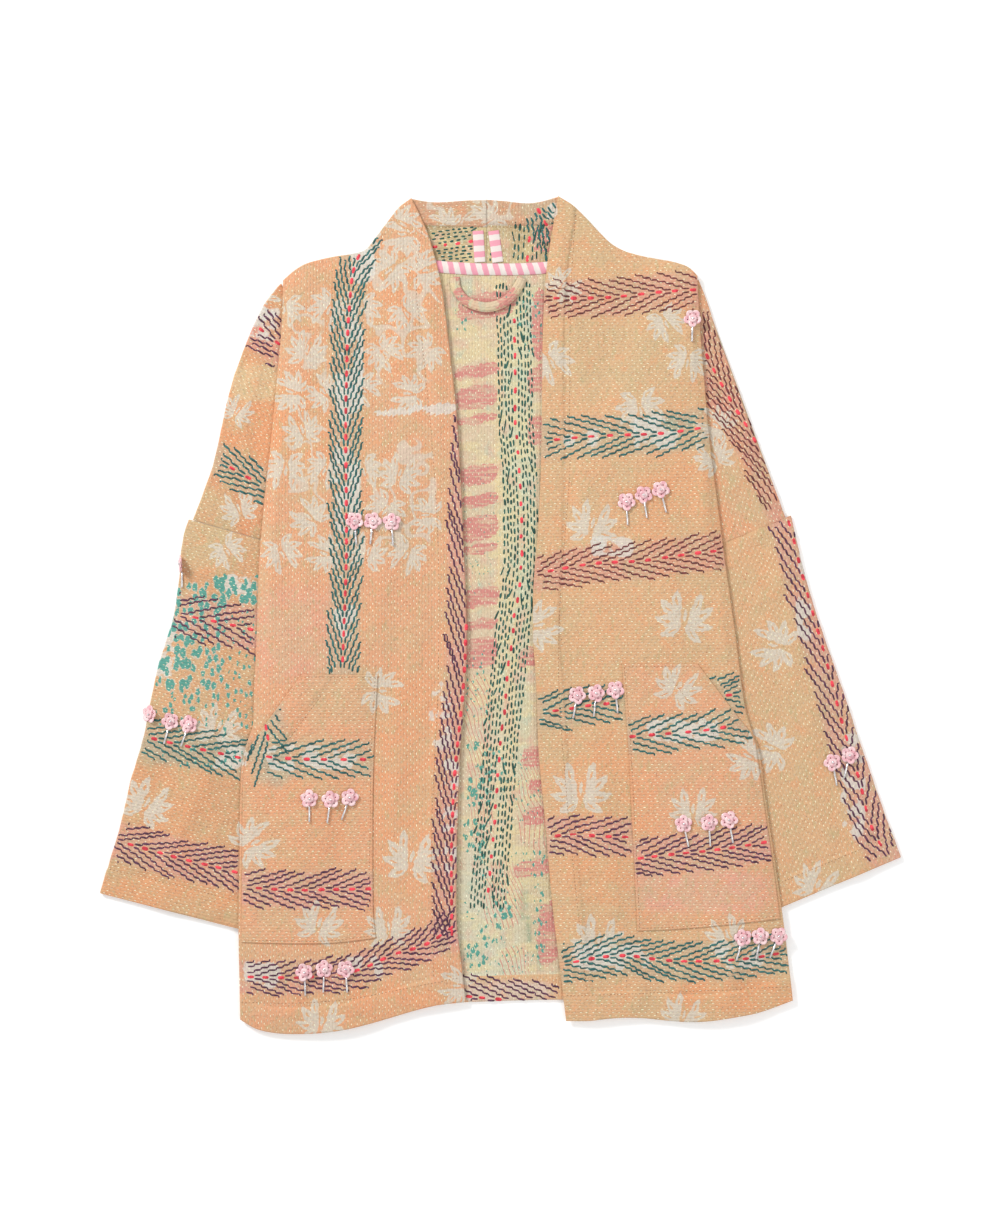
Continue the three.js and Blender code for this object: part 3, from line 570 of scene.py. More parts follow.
def smooth_between(knots, values, spots, held):
    """Cubic interpolation along the first axis. Where held, it doesn't overshoot."""
    gaps = np.diff(knots)[:, None]
    slopes = np.diff(values, axis=0) / gaps
    before, after = slopes[:-1], slopes[1:]
    if held:
        product = before * after
        total = before + after
        middle = np.where(product > 0, 2 * product / np.where(total == 0, 1, total), 0)
    else:
        middle = (before * gaps[1:] + after * gaps[:-1]) / (gaps[1:] + gaps[:-1])
    tangents = np.concatenate([slopes[:1], middle, slopes[-1:]])
    index = np.clip(np.searchsorted(knots, spots) - 1, 0, len(knots) - 2)
    gap = gaps[index]
    u = ((spots - knots[index]) / gap[:, 0])[:, None]
    start, end = values[index], values[index + 1]
    return (
        (1 + 2 * u) * (1 - u) ** 2 * start
        + u * (1 - u) ** 2 * gap * tangents[index]
        + u**2 * (3 - 2 * u) * end
        + u**2 * (u - 1) * gap * tangents[index + 1]
    )


def refined(grid, row_places, column_places):
    """The grid's surface at other distances along its two directions."""
    row_knots, column_knots = lengths(grid, 0), lengths(grid, 1)
    made = []
    for axis in range(3):
        held = axis == 2
        values = smooth_between(row_knots, grid[:, :, axis], row_places, held)
        made.append(smooth_between(column_knots, values.T, column_places, held).T)
    return np.stack(made, 2)


def places(length, cell, turned_low, turned_high):
    """Distances from 0 to length about a cell apart, close together at edges and at the seams of turns."""
    at = list(np.linspace(0, length, max(2, round(length / cell)) + 1))
    at += [*EDGE_STEPS, *(length - step for step in EDGE_STEPS)]
    seams = [TURN] * turned_low + [length - TURN] * turned_high
    at += [seam + step for seam in seams for step in SEAM_STEPS]
    at = sorted(d for d in at if 0 <= d <= length)
    kept = [at[0]]
    for d in at[1:]:
        if d - kept[-1] > CLOSEST:
            kept.append(d)
    kept[-1] = length
    return np.array(kept)


def smoothstep(value, low, high):
    u = np.clip((value - low) / (high - low), 0, 1)
    return u * u * (3 - 2 * u)


def turned(distance):
    return 1 - smoothstep(distance, TURN - TURN_BLUR, TURN + TURN_BLUR)


# Creases: soft ridges from one end to the other
CREASES = [
    # x0, y0, x1, y1, width, height
    (-214, 300, -196, 210, 20, 1.6),
    (-205, 322, -150, 300, 18, 1.3),
    (-120, 352, -96, 250, 20, 2.2),
    (-70, 330, -62, 200, 13, 0.9),
    (-236, 120, -214, -40, 24, 1.8),
    (-206, 60, -176, -30, 18, 1.4),
    (-186, 170, -170, 110, 16, 1.1),
    (-100, 60, -84, -80, 22, 1.3),
    (-112, -100, -98, -240, 18, 1.7),
    (-80, -180, -66, -330, 20, 1.9),
    (-246, -360, -226, -412, 20, 2.2),
    (-206, -340, -196, -412, 18, 2.0),
    (-160, -350, -138, -404, 20, 2.4),
    (-104, -345, -92, -396, 15, 1.8),
    (-60, -350, -54, -386, 13, 1.4),
    (60, 370, 74, 260, 18, 1.8),
    (112, 340, 150, 306, 20, 1.5),
    (176, 318, 188, 232, 20, 1.7),
    (78, 230, 88, 80, 20, 1.2),
    (196, 190, 214, 60, 20, 1.9),
    (150, 90, 172, -20, 22, 1.4),
    (222, 20, 236, -60, 16, 1.5),
    (60, 20, 66, -120, 16, 1.2),
    (98, -120, 108, -280, 20, 1.7),
    (70, -260, 80, -380, 18, 1.9),
    (132, -350, 138, -398, 16, 1.9),
    (178, -350, 182, -402, 18, 2.0),
    (228, -346, 238, -396, 20, 2.4),
    (268, -335, 278, -386, 14, 1.6),
]
SLEEVE_CREASES = [
    (-240, 270, -262, 190, 16, 1.5),
    (-262, 190, -240, 120, 15, 1.1),
    (-292, 130, -250, 80, 14, 1.5),
    (-316, 60, -262, 20, 16, 1.2),
    (-300, 30, -318, -80, 20, 1.7),
    (-336, -70, -296, -120, 16, 1.1),
    (-350, -120, -370, -220, 20, 1.5),
    (-300, -150, -318, -250, 20, 1.5),
    (-330, -230, -338, -290, 16, 1.4),
    (226, 260, 246, 190, 16, 1.5),
    (250, 200, 232, 130, 14, 1.1),
    (276, 120, 246, 70, 14, 1.5),
    (300, 60, 262, 20, 16, 1.3),
    (284, 20, 306, -80, 20, 1.7),
    (330, -60, 306, -120, 16, 1.1),
    (340, -120, 368, -210, 20, 1.5),
    (300, -140, 322, -240, 20, 1.5),
    (352, -215, 362, -262, 16, 1.4),
]
BACK_CREASES = [
    (-30, 320, 20, 290, 16, 0.9),
    (-20, 240, -6, 120, 20, 0.9),
    (26, 180, 14, 40, 18, 0.9),
    (-14, 40, 6, -90, 20, 1.0),
    (16, -120, -6, -250, 18, 1.0),
    (-8, -260, 4, -350, 16, 0.9),
]


def crease_height(creases, x, y):
    """Height of the creases: each bends a little and fades out past both ends."""
    height = np.zeros_like(x)
    for x0, y0, x1, y1, width, high in creases:
        along_x, along_y = x1 - x0, y1 - y0
        share = ((x - x0) * along_x + (y - y0) * along_y) / (along_x**2 + along_y**2)
        held = np.clip(share, -0.1, 1.1)
        bend = width * 0.35 * np.sin(held * 4.0 + x0)
        apart = np.hypot(x - x0 - held * along_x - bend, y - y0 - held * along_y)
        fade = np.sin(np.pi * np.clip((share + 0.25) / 1.5, 0, 1)) ** 0.7
        height += high * fade * np.exp(-((apart / (0.55 * width)) ** 2))
    return height


def uneven(x, y, seed, size, height):
    """Small soft unevenness of quilted cloth, from a few waves at odd angles."""
    draw = np.random.default_rng(seed)
    total = np.zeros_like(x)
    for _ in range(9):
        angle, phase = draw.uniform(0, 2 * np.pi, 2)
        wave = 2 * np.pi / (size * draw.uniform(0.6, 1.7))
        total += np.sin(wave * (x * np.cos(angle) + y * np.sin(angle)) + phase)
    return height * total / 3


# Colours: soft patches over each piece's own ground
OUTER_PATCHES = [
    # x, y, half width, half height, colour, share
    (-120, 300, 60, 60, APRICOT, 0.5),
    (-190, 190, 60, 50, APRICOT, 0.55),
    (-200, -20, 50, 50, ROSE, 0.5),
    (-150, -80, 50, 30, SAGE, 0.35),
    (-90, -160, 40, 120, APRICOT, 0.45),
    (-200, -200, 60, 60, APRICOT, 0.35),
    (-120, -390, 90, 25, APRICOT, 0.5),
    (90, 385, 26, 40, SAGE, 0.35),
    (120, 255, 70, 35, SAGE, 0.35),
    (90, 20, 60, 60, SAND, 0.4),
    (180, 100, 50, 60, APRICOT, 0.4),
    (110, -200, 50, 90, APRICOT, 0.5),
    (200, -275, 70, 24, ROSE, 0.8),
    (180, -330, 60, 40, SAND, 0.4),
    (240, -20, 40, 60, SAND, 0.5),
    (300, -120, 40, 110, SAGE, 0.2),
    (-300, 90, 40, 40, SAGE, 0.6),
    (-330, -60, 40, 60, SAND, 0.5),
    (-340, -200, 60, 50, APRICOT, 0.4),
    (-250, 200, 40, 60, APRICOT, 0.55),
    (250, 150, 30, 60, SAGE, 0.4),
    (-246, 232, 26, 20, (220, 190, 148), 0.85),
    (236, -380, 70, 16, APRICOT, 0.85),
    (8, -377, 46, 12, (224, 204, 194), 0.8),
    (-330, -278, 78, 18, APRICOT, 0.6),
    (-306, -134, 62, 18, (158, 162, 140), 0.6),
    (178, 190, 16, 8, (110, 176, 160), 0.6),
]
OUTER_BLOTS = [
    # x, y, half width, half height, share: teal blots
    (-262, 24, 36, 18, 1.0),
    (-304, 14, 36, 24, 0.82),
    (-280, -10, 60, 16, 0.62),
    (-326, -36, 22, 46, 0.95),
    (-296, -44, 26, 44, 0.72),
    (-264, -56, 26, 44, 0.56),
    (-306, -96, 44, 20, 0.55),
    (-264, -104, 24, 22, 0.5),
    (-300, -142, 60, 12, 0.42),
]
OUTER_PALE = [
    # x, y, half width, half height, share: pale cloth
    (-66, 206, 24, 5, 1.0),
    (-108, 202, 22, 3.2, 0.8),
    (-261, 28, 15, 14, 0.8),
    (-338, -36, 14, 34, 0.75),
    (-150, 240, 15, 60, 0.62),
    (-154, 130, 15, 60, 0.56),
    (-155, 20, 14, 50, 0.4),
    (-140, 350, 16, 20, 0.6),
    (152, 182, 26, 18, 0.62),
    (80, 178, 20, 14, 0.4),
    (110, 68, 24, 12, 0.66),
    (-190, -142, 50, 15, 0.62),
    (-46, -200, 14, 70, 0.6),
    (-60, -100, 14, 40, 0.4),
    (-238, -358, 20, 16, 0.66),
    (-140, -352, 26, 14, 0.5),
    (182, -114, 40, 14, 0.6),
    (110, -342, 44, 15, 0.55),
    (236, -340, 30, 14, 0.5),
    (-270, -142, 22, 14, 0.6),
    (-236, 290, 20, 22, 0.5),
    (304, 20, 10, 50, 0.55),
    (352, -170, 14, 60, 0.5),
    (46, 404, 12, 10, 0.5),
]
INNER_PATCHES = [
    (-1, 60, 3.5, 300, (232, 204, 158), 0.8),
    (18, 150, 18, 190, (204, 214, 182), 0.7),
    (12, -90, 18, 120, (208, 212, 180), 0.6),
    (-12, -180, 26, 90, PALE, 0.4),
    (-8, -306, 40, 80, (212, 214, 190), 0.7),
    (23, -290, 3.5, 15, BRIGHT_TEAL, 0.85),
    (28, -314, 3.5, 15, BRIGHT_TEAL, 0.85),
    (40, -341, 3.5, 15, BRIGHT_TEAL, 0.75),
    (36, -290, 20, 60, SAGE, 0.5),
    (36, 300, 14, 30, (176, 204, 190), 0.5),
    (-40, 320, 12, 20, (186, 204, 184), 0.5),
    (10, -130, 6, 220, (232, 204, 158), 0.6),
]
INNER_BLOCKS = [
    # x, y, half width, half height, share: faded pink blocks
    (-24, 244, 24, 7, 1.0),
    (-24, 218, 22, 12.5, 1.0),
    (-23, 196, 22, 5, 0.95),
    (-22, 140, 21, 10.5, 1.0),
    (-22, 114, 21, 7, 1.0),
    (-21, 87, 20, 13.5, 1.0),
    (-21, 66, 20, 5.5, 0.95),
    (-20, 17, 20, 10.5, 1.0),
    (-20, -10, 20, 6, 0.95),
    (-20, -38, 18, 17, 0.95),
    (36, 226, 10, 14, 0.9),
    (36, 176, 10, 16, 0.85),
    (-14, 308, 32, 14, 0.9),
    (40, 280, 10, 40, 0.75),
    (30, -50, 14, 12, 0.7),
    (38, -150, 18, 12, 0.9),
    (42, -180, 16, 8, 0.8),
    (40, -210, 20, 10, 0.7),
    (34, -262, 24, 9, 0.9),
    (48, -330, 12, 34, 0.8),
    (46, 366, 16, 16, 0.6),
]
INNER_LINES = [
    (-22, -96, 14, 40, 1.0),
    (-22, -150, 12, 50, 1.0),
    (-18, -205, 14, 24, 0.8),
    (2, -280, 22, 36, 0.9),
    (14, -350, 16, 20, 1.0),
    (36, -190, 22, 50, 0.7),
    (-10, 40, 30, 20, 0.4),
]
INNER_BLOTS = [
    (-26, -128, 12, 8, 0.95),
    (-10, -150, 16, 20, 0.8),
    (-22, -176, 14, 18, 1.0),
    (-24, -220, 14, 20, 1.0),
    (-20, -240, 10, 26, 0.75),
    (-24, -340, 13, 14, 1.0),
    (-10, -320, 13, 14, 1.0),
    (4, -298, 12, 14, 1.0),
    (-12, -290, 30, 30, 0.4),
    (-4, -350, 38, 26, 0.4),
    (38, -310, 8, 46, 0.8),
    (38, -250, 7, 20, 0.8),
    (30, -240, 22, 14, 0.5),
    (26, -190, 20, 20, 0.45),
    (12, -160, 18, 30, 0.4),
    (30, 290, 16, 36, 0.6),
    (-36, 300, 12, 20, 0.55),
    (-20, 100, 24, 60, 0.3),
    (-24, 40, 20, 24, 0.35),
    (-24, -70, 22, 40, 0.5),
    (30, 60, 14, 60, 0.35),
    (34, 140, 12, 40, 0.3),
]


def patch_share(x, y, centre_x, centre_y, half_width, half_height):
    across, along = np.abs(x - centre_x) / half_width, np.abs(y - centre_y) / half_height
    return 1 - smoothstep(0.55 * np.maximum(across, along) + 0.45 * np.hypot(across, along), 0.72, 1.16)


def painted(ground, patches, x, y):
    base = np.tile(linear(ground), (*x.shape, 1))
    for *box, paint, share in patches:
        cover = share * patch_share(x, y, *box)
        base = base + cover[..., None] * (linear(paint) - base)
    return base


def band_tinted_and_shaded(base, piece, points):
    """Tints the cloth along the embroidered bands: partly the cloth's own tint there, partly painted shade
    between the dense threads.
    """
    for band in BANDS:
        if band.piece == piece:
            line = Line(band.points).points[::3]
            apart = np.min(np.hypot(points[:, :1] - line[:, 0], points[:, 1:2] - line[:, 1]), 1)
            cover = 0.6 * (1 - smoothstep(apart, 0.75 * band.half, 1.15 * band.half))
            base = base + cover[:, None] * (linear(BAND_TINTS_AND_SHADE[band.thread]) - base)
    return base


def marked(marks, x, y):
    mask = np.zeros_like(x)
    for *box, share in marks:
        mask = np.maximum(mask, share * patch_share(x, y, *box))
    return mask


def marks_outside(x, y, blots):
    vines = [((x0 + x1) / 2, (y0 + y1) / 2, (x1 - x0) / 2, (y1 - y0) / 2, 1.0) for x0, x1, y0, y1 in VINES]
    return np.stack([marked(blots, x, y), marked(vines, x, y), marked(OUTER_PALE, x, y)], 1)


def marks_inside(x, y):
    blocks = marked(INNER_BLOCKS, x, y - BLOCK_SLANT * (x - BLOCK_MIDDLE))
    return np.stack([marked(INNER_BLOTS, x, y), blocks, marked(INNER_LINES, x, y)], 1)


# Leaf prints
MOTIFS = [
    # x, y, the way it points in degrees, how far its lobes reach
    (92, 92, 75, 27),
    (140, 203, -80, 26),
    (184, 0, 80, 30),
    (40, -10, 20, 27),
    (80, -172, 90, 31),
    (98, -322, 80, 28),
    (183, -398, 70, 24),
    (226, -318, 110, 24),
    (52, 250, -60, 24),
    (166, 290, -60, 21),
    (186, 250, -100, 22),
    (64, 330, 40, 20),
    (212, 160, 120, 22),
    (178, -70, 60, 25),
    (246, -140, 150, 25),
    (192, -192, 90, 25),
    (272, -30, 170, 27),
    (268, -132, 160, 26),
    (318, -268, 60, 26),
    (214, 190, 150, 22),
    (-88, -240, 80, 30),
    (-112, -310, 90, 25),
    (-117, -76, -10, 24),
    (-178, -404, 80, 26),
    (-44, -370, 170, 22),
    (-244, -226, 30, 27),
    (-180, -306, 70, 25),
    (-352, -186, 60, 28),
    (-281, -110, 70, 26),
    (-262, 108, 110, 20),
    (-272, 62, -60, 20),
    (-236, 312, -20, 20),
    (-262, 205, 60, 18),
]
VINES = [
    # x from, x to, y from, y to: a close scatter of palmettes
    (-214, -172, 62, 330),
    (-136, -58, 222, 392),
    (-136, -62, 62, 180),
    (-96, 20, 390, 420),
]

def vine_motifs():
    draw = np.random.default_rng(3)
    made = []
    for x0, x1, y0, y1 in VINES:
        for row, y in enumerate(np.arange(y0, y1, VINE_STEP)):
            for x in np.arange(x0 + (row % 2) * VINE_STEP / 2, x1 + 1, VINE_STEP):
                dx, dy = draw.uniform(-4, 4, 2)
                made.append((x + dx, y + dy, draw.uniform(0, 360), draw.uniform(20, 24)))
    return made


def stamp_places(motifs, x, y):
    """The places of each face's corners in the frame of its nearest motif, as shares of its reach."""
    table = np.array(motifs)
    apart = np.hypot(x.mean(1)[:, None] - table[:, 0], y.mean(1)[:, None] - table[:, 1]) / table[:, 3]
    chosen = table[apart.argmin(1)]
    angle = np.radians(chosen[:, 2])[:, None]
    dx = (x - chosen[:, :1]) / chosen[:, 3:]
    dy = (y - chosen[:, 1:2]) / chosen[:, 3:]
    p = dx * np.cos(angle) + dy * np.sin(angle)
    q = -dx * np.sin(angle) + dy * np.cos(angle)
    return np.stack([p + 0.1, q], 2)


# Shells of cloth

CLOTHS = {}  # each cloth piece's object, by its solid


def set_uv(mesh, name, values):
    layer = mesh.uv_layers.new(name=name)
    layer.data.foreach_set("uv", values.reshape(-1).astype(np.float32))


def set_colours(mesh, name, values):
    attribute = mesh.color_attributes.new(name, "FLOAT_COLOR", "POINT")
    full = np.concatenate([values, np.ones((len(values), 1))], 1)
    attribute.data.foreach_set("color", full.astype(np.float32).reshape(-1))


def shell_object(node, points, faces, inside, rows_angle, ground, motifs, inside_ground=CREAM):
    """A piece of cloth as a mesh, with its prints' places, its quilting's places and its tints."""
    made = new_mesh(node + "_cloth", points, faces, MATERIALS["outer"], MATERIALS["inner"])
    mesh = made.data
    mesh.polygons.foreach_set("material_index", np.array(inside, np.int32))
    corners = points[np.array(faces)]
    x, y = corners[..., 0], corners[..., 1]
    angle = math.radians(rows_angle)
    along = x * math.cos(angle) + y * math.sin(angle)
    across = -x * math.sin(angle) + y * math.cos(angle)
    set_uv(mesh, "quilt", np.stack([across, along], 2))
    set_uv(mesh, "stamp", stamp_places(motifs, x, y))
    x, y = points[:, 0], points[:, 1]
    set_colours(mesh, "tint", band_tinted_and_shaded(painted(ground, OUTER_PATCHES, x, y), node, points))
    set_colours(mesh, "tint_inside", painted(inside_ground, INNER_PATCHES, x, y))
    set_colours(mesh, "marks", marks_outside(x, y, OUTER_BLOTS if node.startswith("sleeve") else []))
    set_colours(mesh, "marks_inside", marks_inside(x, y))
    return made


def finish_cloth(made, node, width, height, turned_area=0.0):
    """Keeps a cloth and hides its solid. width and height are the cut's, and turned_area is that of its
    turned-in strips.
    """
    CLOTHS[node] = made
    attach(made, "root")
    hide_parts(node)
    area = sum(p.area for p in made.data.polygons) / 2 + turned_area * MM**2
    min(area, width * height * MM**2)


def edge_rounding(distance, half):
    """How far a skin comes in towards the middle of the wall, near an edge."""
    near = np.clip(1 - distance / RIM, 0, 1)
    return half * (1 - np.sqrt(np.maximum(0, 1 - near**2)))


def seam_dip(distance, at, depth=0.35, width=2.2):
    """The groove that a line of topstitching draws into the cloth."""
    return depth * np.exp(-(((distance - at) / width) ** 2))


def longest(grid, axis):
    return np.linalg.norm(np.diff(grid, axis=axis), axis=2).sum(axis).max()


def even_grid(grid, row_cell, column_cell, turned_edges=()):
    """The skin at places about a cell apart, and their distances from each edge and from the nearest one."""
    height, width = lengths(grid, 0)[-1], lengths(grid, 1)[-1]
    row_places = places(height, row_cell, "low" in turned_edges, "high" in turned_edges)
    column_places = places(width, column_cell, "left" in turned_edges, "right" in turned_edges)
    low, left = np.meshgrid(row_places, column_places, indexing="ij")
    distance = {"low": low, "high": height - low, "left": left, "right": width - left}
    return refined(grid, row_places, column_places), distance, np.minimum.reduce(list(distance.values()))


def walled(top, bottom, nearest):
    """Points and faces of a closed shell with a rounded rim, and the number of its upper faces."""
    rounding = edge_rounding(nearest, (top[..., 2] - bottom[..., 2]) / 2)
    top[..., 2] -= rounding
    bottom[..., 2] += rounding
    height, width = nearest.shape
    rim = np.ones((height, width), bool)
    rim[1:-1, 1:-1] = False
    upper = np.arange(height * width).reshape(height, width)
    lower = upper.copy()
    lower[~rim] = height * width + np.arange((~rim).sum())
    skin_points = np.where(rim[..., None], (top + bottom) / 2, top).reshape(-1, 3)
    faces = []
    for index, order in ((upper, (0, 1, 2, 3)), (lower, (0, 3, 2, 1))):
        around = [index[:-1, :-1], index[:-1, 1:], index[1:, 1:], index[1:, :-1]]
        faces.append(np.stack([around[k].ravel() for k in order], 1))
    return np.concatenate([skin_points, bottom[~rim]]), np.concatenate(faces).tolist(), len(faces[0])


def panel(
    node, rows_angle, ground, creases, seed, turned_edges, cell=CELL, outside_up=True, inside_ground=CREAM
):
    """A wall of cloth on a panel's solid. Of low, high, left and right, turned_edges are turned in."""
    grid = laid_out(skin(node))
    top, distance, nearest = even_grid(grid, cell, cell, turned_edges)
    double = np.maximum.reduce([turned(distance[edge]) for edge in turned_edges])
    x, y = top[..., 0], top[..., 1]
    settled = smoothstep(nearest, 0, 14) * 0.85 + 0.15
    rise = settled * crease_height(creases, x, y) + uneven(x, y, seed, 16, 0.22) * smoothstep(nearest, 0, 6)
    top[..., 2] += np.maximum(rise, DEEPEST) - sum(seam_dip(distance[edge], TURN) for edge in turned_edges)
    bottom = top.copy()
    bottom[..., 2] = np.maximum(bottom[..., 2] - CLOTH * (1 + DOUBLE * double), 0)
    points, faces, upper_count = walled(top, bottom, nearest)
    inside = (np.arange(len(faces)) >= upper_count) == outside_up
    corners = double[:-1, :-1] + double[1:, :-1] + double[:-1, 1:] + double[1:, 1:]
    inside &= ~np.tile(corners.ravel() / 4 > 0.5, 2)
    motifs = MOTIFS + vine_motifs()
    made = shell_object(node, points, faces, inside, rows_angle, ground, motifs, inside_ground)
    wide, long = longest(grid, 1), longest(grid, 0)
    across_turns = TURN * sum(edge in turned_edges for edge in ("left", "right"))
    along_turns = TURN * ("low" in turned_edges)
    extra = across_turns * long + along_turns * wide
    finish_cloth(made, node, wide + across_turns, long + along_turns, extra)


def pocket(node, front, ground, seed, mouth):
    """A patch pocket on the front's own cloth. mouth is the slanted edge's two ends."""
    grid = laid_out(skin(node))
    top, _, nearest = even_grid(grid, POCKET_CELL, POCKET_CELL)
    x, y = top[..., 0], top[..., 1]
    (x0, y0), (x1, y1) = mouth
    length = math.hypot(x1 - x0, y1 - y0)
    from_mouth = np.abs((x - x0) * (y1 - y0) - (y - y0) * (x1 - x0)) / length
    lift = 0.35 + uneven(x, y, seed, 15, 0.2) * smoothstep(nearest, 0, 8)
    puff = 1.2 * np.exp(-((from_mouth / 16) ** 2)) * smoothstep(nearest, 0, 20)
    under = surface_heights(CLOTHS[front], x, y, top[..., 2] - 1.6)
    bottom = top.copy()
    bottom[..., 2] = np.maximum(under + np.maximum(lift, 0.15) + puff, 0)
    wall = CLOTH * (1 + 0.6 * turned(from_mouth))
    top[..., 2] = bottom[..., 2] + wall - seam_dip(from_mouth, TURN) - seam_dip(nearest, 3.0, 0.3, 1.4)
    points, faces, upper_count = walled(top, bottom, nearest)
    inside = np.arange(len(faces)) >= upper_count
    made = shell_object(node, points, faces, inside, 0, ground, MOTIFS)
    finish_cloth(made, node, longest(grid, 1) + TURN, longest(grid, 0), TURN * length)


def surface_heights(cloth, x, y, otherwise):
    """Height of a cloth's upper side at each point, or otherwise where it has none."""
    mesh = cloth.data
    tree = BVHTree.FromPolygons([v.co[:] for v in mesh.vertices], [p.vertices[:] for p in mesh.polygons])
    heights = otherwise.copy()
    for index in np.ndindex(x.shape):
        hit = tree.ray_cast(Vector((x[index] * MM, y[index] * MM, 0.1)), Vector((0, 0, -1)))
        if hit[0] is not None:
            heights[index] = hit[0].z / MM
    return heights


FOLD_STEPS = 7
UNDER_STEPS = 18


def sleeve(node, rows_angle, ground, seed, cuff):
    """A flattened tube of cloth on a sleeve's solid. The cuff end is turned in."""
    grid = laid_out(skin(node, lowest=3.0, least_slope=0.97))
    top, distance, _ = even_grid(grid, CELL, CELL, ("low",) if cuff else ())
    from_low = distance["low"]
    from_end = np.minimum(from_low, distance["high"])
    across = np.minimum(distance["left"], distance["right"])
    x, y = top[..., 0], top[..., 1]
    double = cuff * turned(from_low)
    rise = crease_height(SLEEVE_CREASES, x, y) * (0.3 + 0.7 * smoothstep(across, 0, 22))
    rise += uneven(x, y, seed, 16, 0.25) * smoothstep(from_end, 0, 6)
    puckered = 0.9 * np.exp(-((from_end / 5) ** 2)) * (1 - double)
    top[..., 2] += np.maximum(rise, DEEPEST) + 0.7 * double - cuff * seam_dip(from_low, TURN) - puckered
    turns = np.linspace(math.pi / 2, -math.pi / 2, FOLD_STEPS + 2)[1:-1]
    left, right = top[:, 0], top[:, -1]
    outward = (right - left) * [1, 1, 0]
    outward /= np.linalg.norm(outward, axis=1, keepdims=True)
    under = np.linspace(0, 1, UNDER_STEPS)[:, None]
    rounding = edge_rounding(from_end[:, :1], CLOTH / 2)

    def folded(edge, sign, order, inset):
        """Half a turn round one side of the sleeve, at every row."""
        radius = edge[:, 2:] / 2
        fold = np.repeat((edge * [1, 1, 0.5])[:, None], FOLD_STEPS, 1)
        for step, angle in enumerate(order):
            fold[:, step] += sign * outward * (radius - inset) * math.cos(angle)
            fold[:, step, 2:] += (radius - inset) * math.sin(angle)
        return fold

    def ring(depth, inwards):
        """The sleeve's section at every row: top, one fold, underside, other fold."""
        inset = depth + inwards * rounding
        upper = top.copy()
        upper[..., 2] -= inset
        lower = right[:, None] + (left - right)[:, None] * under
        lower[..., 2] = inset
        near, far = folded(right, 1, turns, inset), folded(left, -1, turns[::-1], inset)
        return np.concatenate([upper, near, lower, far], 1)

    outer, lining = ring(0, 1), ring(CLOTH, -1)
    count, size = outer.shape[:2]
    index = np.arange(2 * count * size).reshape(2, count, size)

    def between(a, b):
        """Faces between two rows of a ring."""
        return np.stack([a, np.roll(a, -1), np.roll(b, -1), b], 1)

    faces = [between(index[0, r], index[0, r + 1]) for r in range(count - 1)]
    faces += [between(index[1, 0], index[0, 0]), between(index[0, -1], index[1, -1])]
    faces += [between(index[1, r + 1], index[1, r]) for r in range(count - 1)]
    turned_rows = cuff * np.count_nonzero(from_low[:, 0] < TURN)
    inside = np.arange(2 * count * size) >= (count + 1 + turned_rows) * size
    points = np.concatenate([outer.reshape(-1, 3), lining.reshape(-1, 3)])
    made = shell_object(node, points, np.concatenate(faces).tolist(), inside, rows_angle, ground, MOTIFS)
    round_it = 2 * longest(grid, 1) + math.pi * SLEEVE_HEIGHT
    cuff_turn = cuff * TURN
    cuff_area = 2 * cuff_turn * longest(grid[:1], 1)
    finish_cloth(made, node, round_it, longest(grid, 0) + cuff_turn, cuff_area)


def strip(node, name, material, puff):
    """Tape, binding or loop: a narrow strip of cloth with a rounded section, on its own solid."""
    grid = skin(node)
    if grid.shape[0] < grid.shape[1]:
        grid = grid.transpose(1, 0, 2)
    if (grid[-1].mean(0) - grid[0].mean(0))[:2].sum() < 0:
        grid = grid[::-1]
    if np.cross((grid[1, 0] - grid[0, 0])[:2], (grid[0, -1] - grid[0, 0])[:2]) > 0:
        grid = grid[:, ::-1]
    top, distance, nearest = even_grid(grid, *TAPE_CELLS)
    along, across = distance["low"], distance["left"]
    swell = puff * np.sin(np.pi * across / across.max()) * (1 + 0.3 * np.sin(along * 0.9 + 1))
    top[..., 2] += swell
    bottom = top.copy()
    bottom[..., 2] -= TAPE + swell
    points, faces, _ = walled(top, bottom, nearest)
    made = new_mesh(name, points, faces, MATERIALS[material])
    place = np.stack([across, along], 2)
    place = np.concatenate([place.reshape(-1, 2), place[1:-1, 1:-1].reshape(-1, 2)])
    set_uv(made.data, "quilt", place[np.array(faces)])
    set_colours(made.data, "tint_inside", np.tile(linear(CREAM), (len(points), 1)))
    mottled = 0.5 + 0.22 * np.sin(points[:, 0] * 0.16 + 1) + 0.2 * np.sin(points[:, 1] * 0.3)
    set_colours(made.data, "marks_inside", np.stack([0.5 * mottled, mottled, 0 * mottled], 1))
    finish_cloth(made, node, longest(grid, 1), longest(grid, 0))


# Sewing on the cloth


class Surface:
    """Finds the cloth that shows at a place, seen from above or from under the jacket."""

    def __init__(self):
        vertices, polygons, self.owner = [], [], []
        for node, cloth in CLOTHS.items():
            offset = len(vertices)
            vertices += [v.co[:] for v in cloth.data.vertices]
            polygons += [[i + offset for i in p.vertices] for p in cloth.data.polygons]
            self.owner += [node] * len(cloth.data.polygons)
        self.tree = BVHTree.FromPolygons(vertices, polygons)

    def at(self, x, y, wanted, below=False, least=0.75):
        """The point on the wanted piece at a place, or None where another piece or its own edge shows."""
        start = Vector((x * MM, y * MM, -0.05 if below else 0.1))
        hit, normal, index, _ = self.tree.ray_cast(start, Vector((0, 0, 1 if below else -1)))
        if hit is None or self.owner[index] != wanted or abs(normal.z) < least:
            return None
        return (x, y, hit.z / MM)


def sewn(name, points, faces, material):
    made = new_mesh(name, points, faces, MATERIALS[material])
    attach(made, "root")
    return made


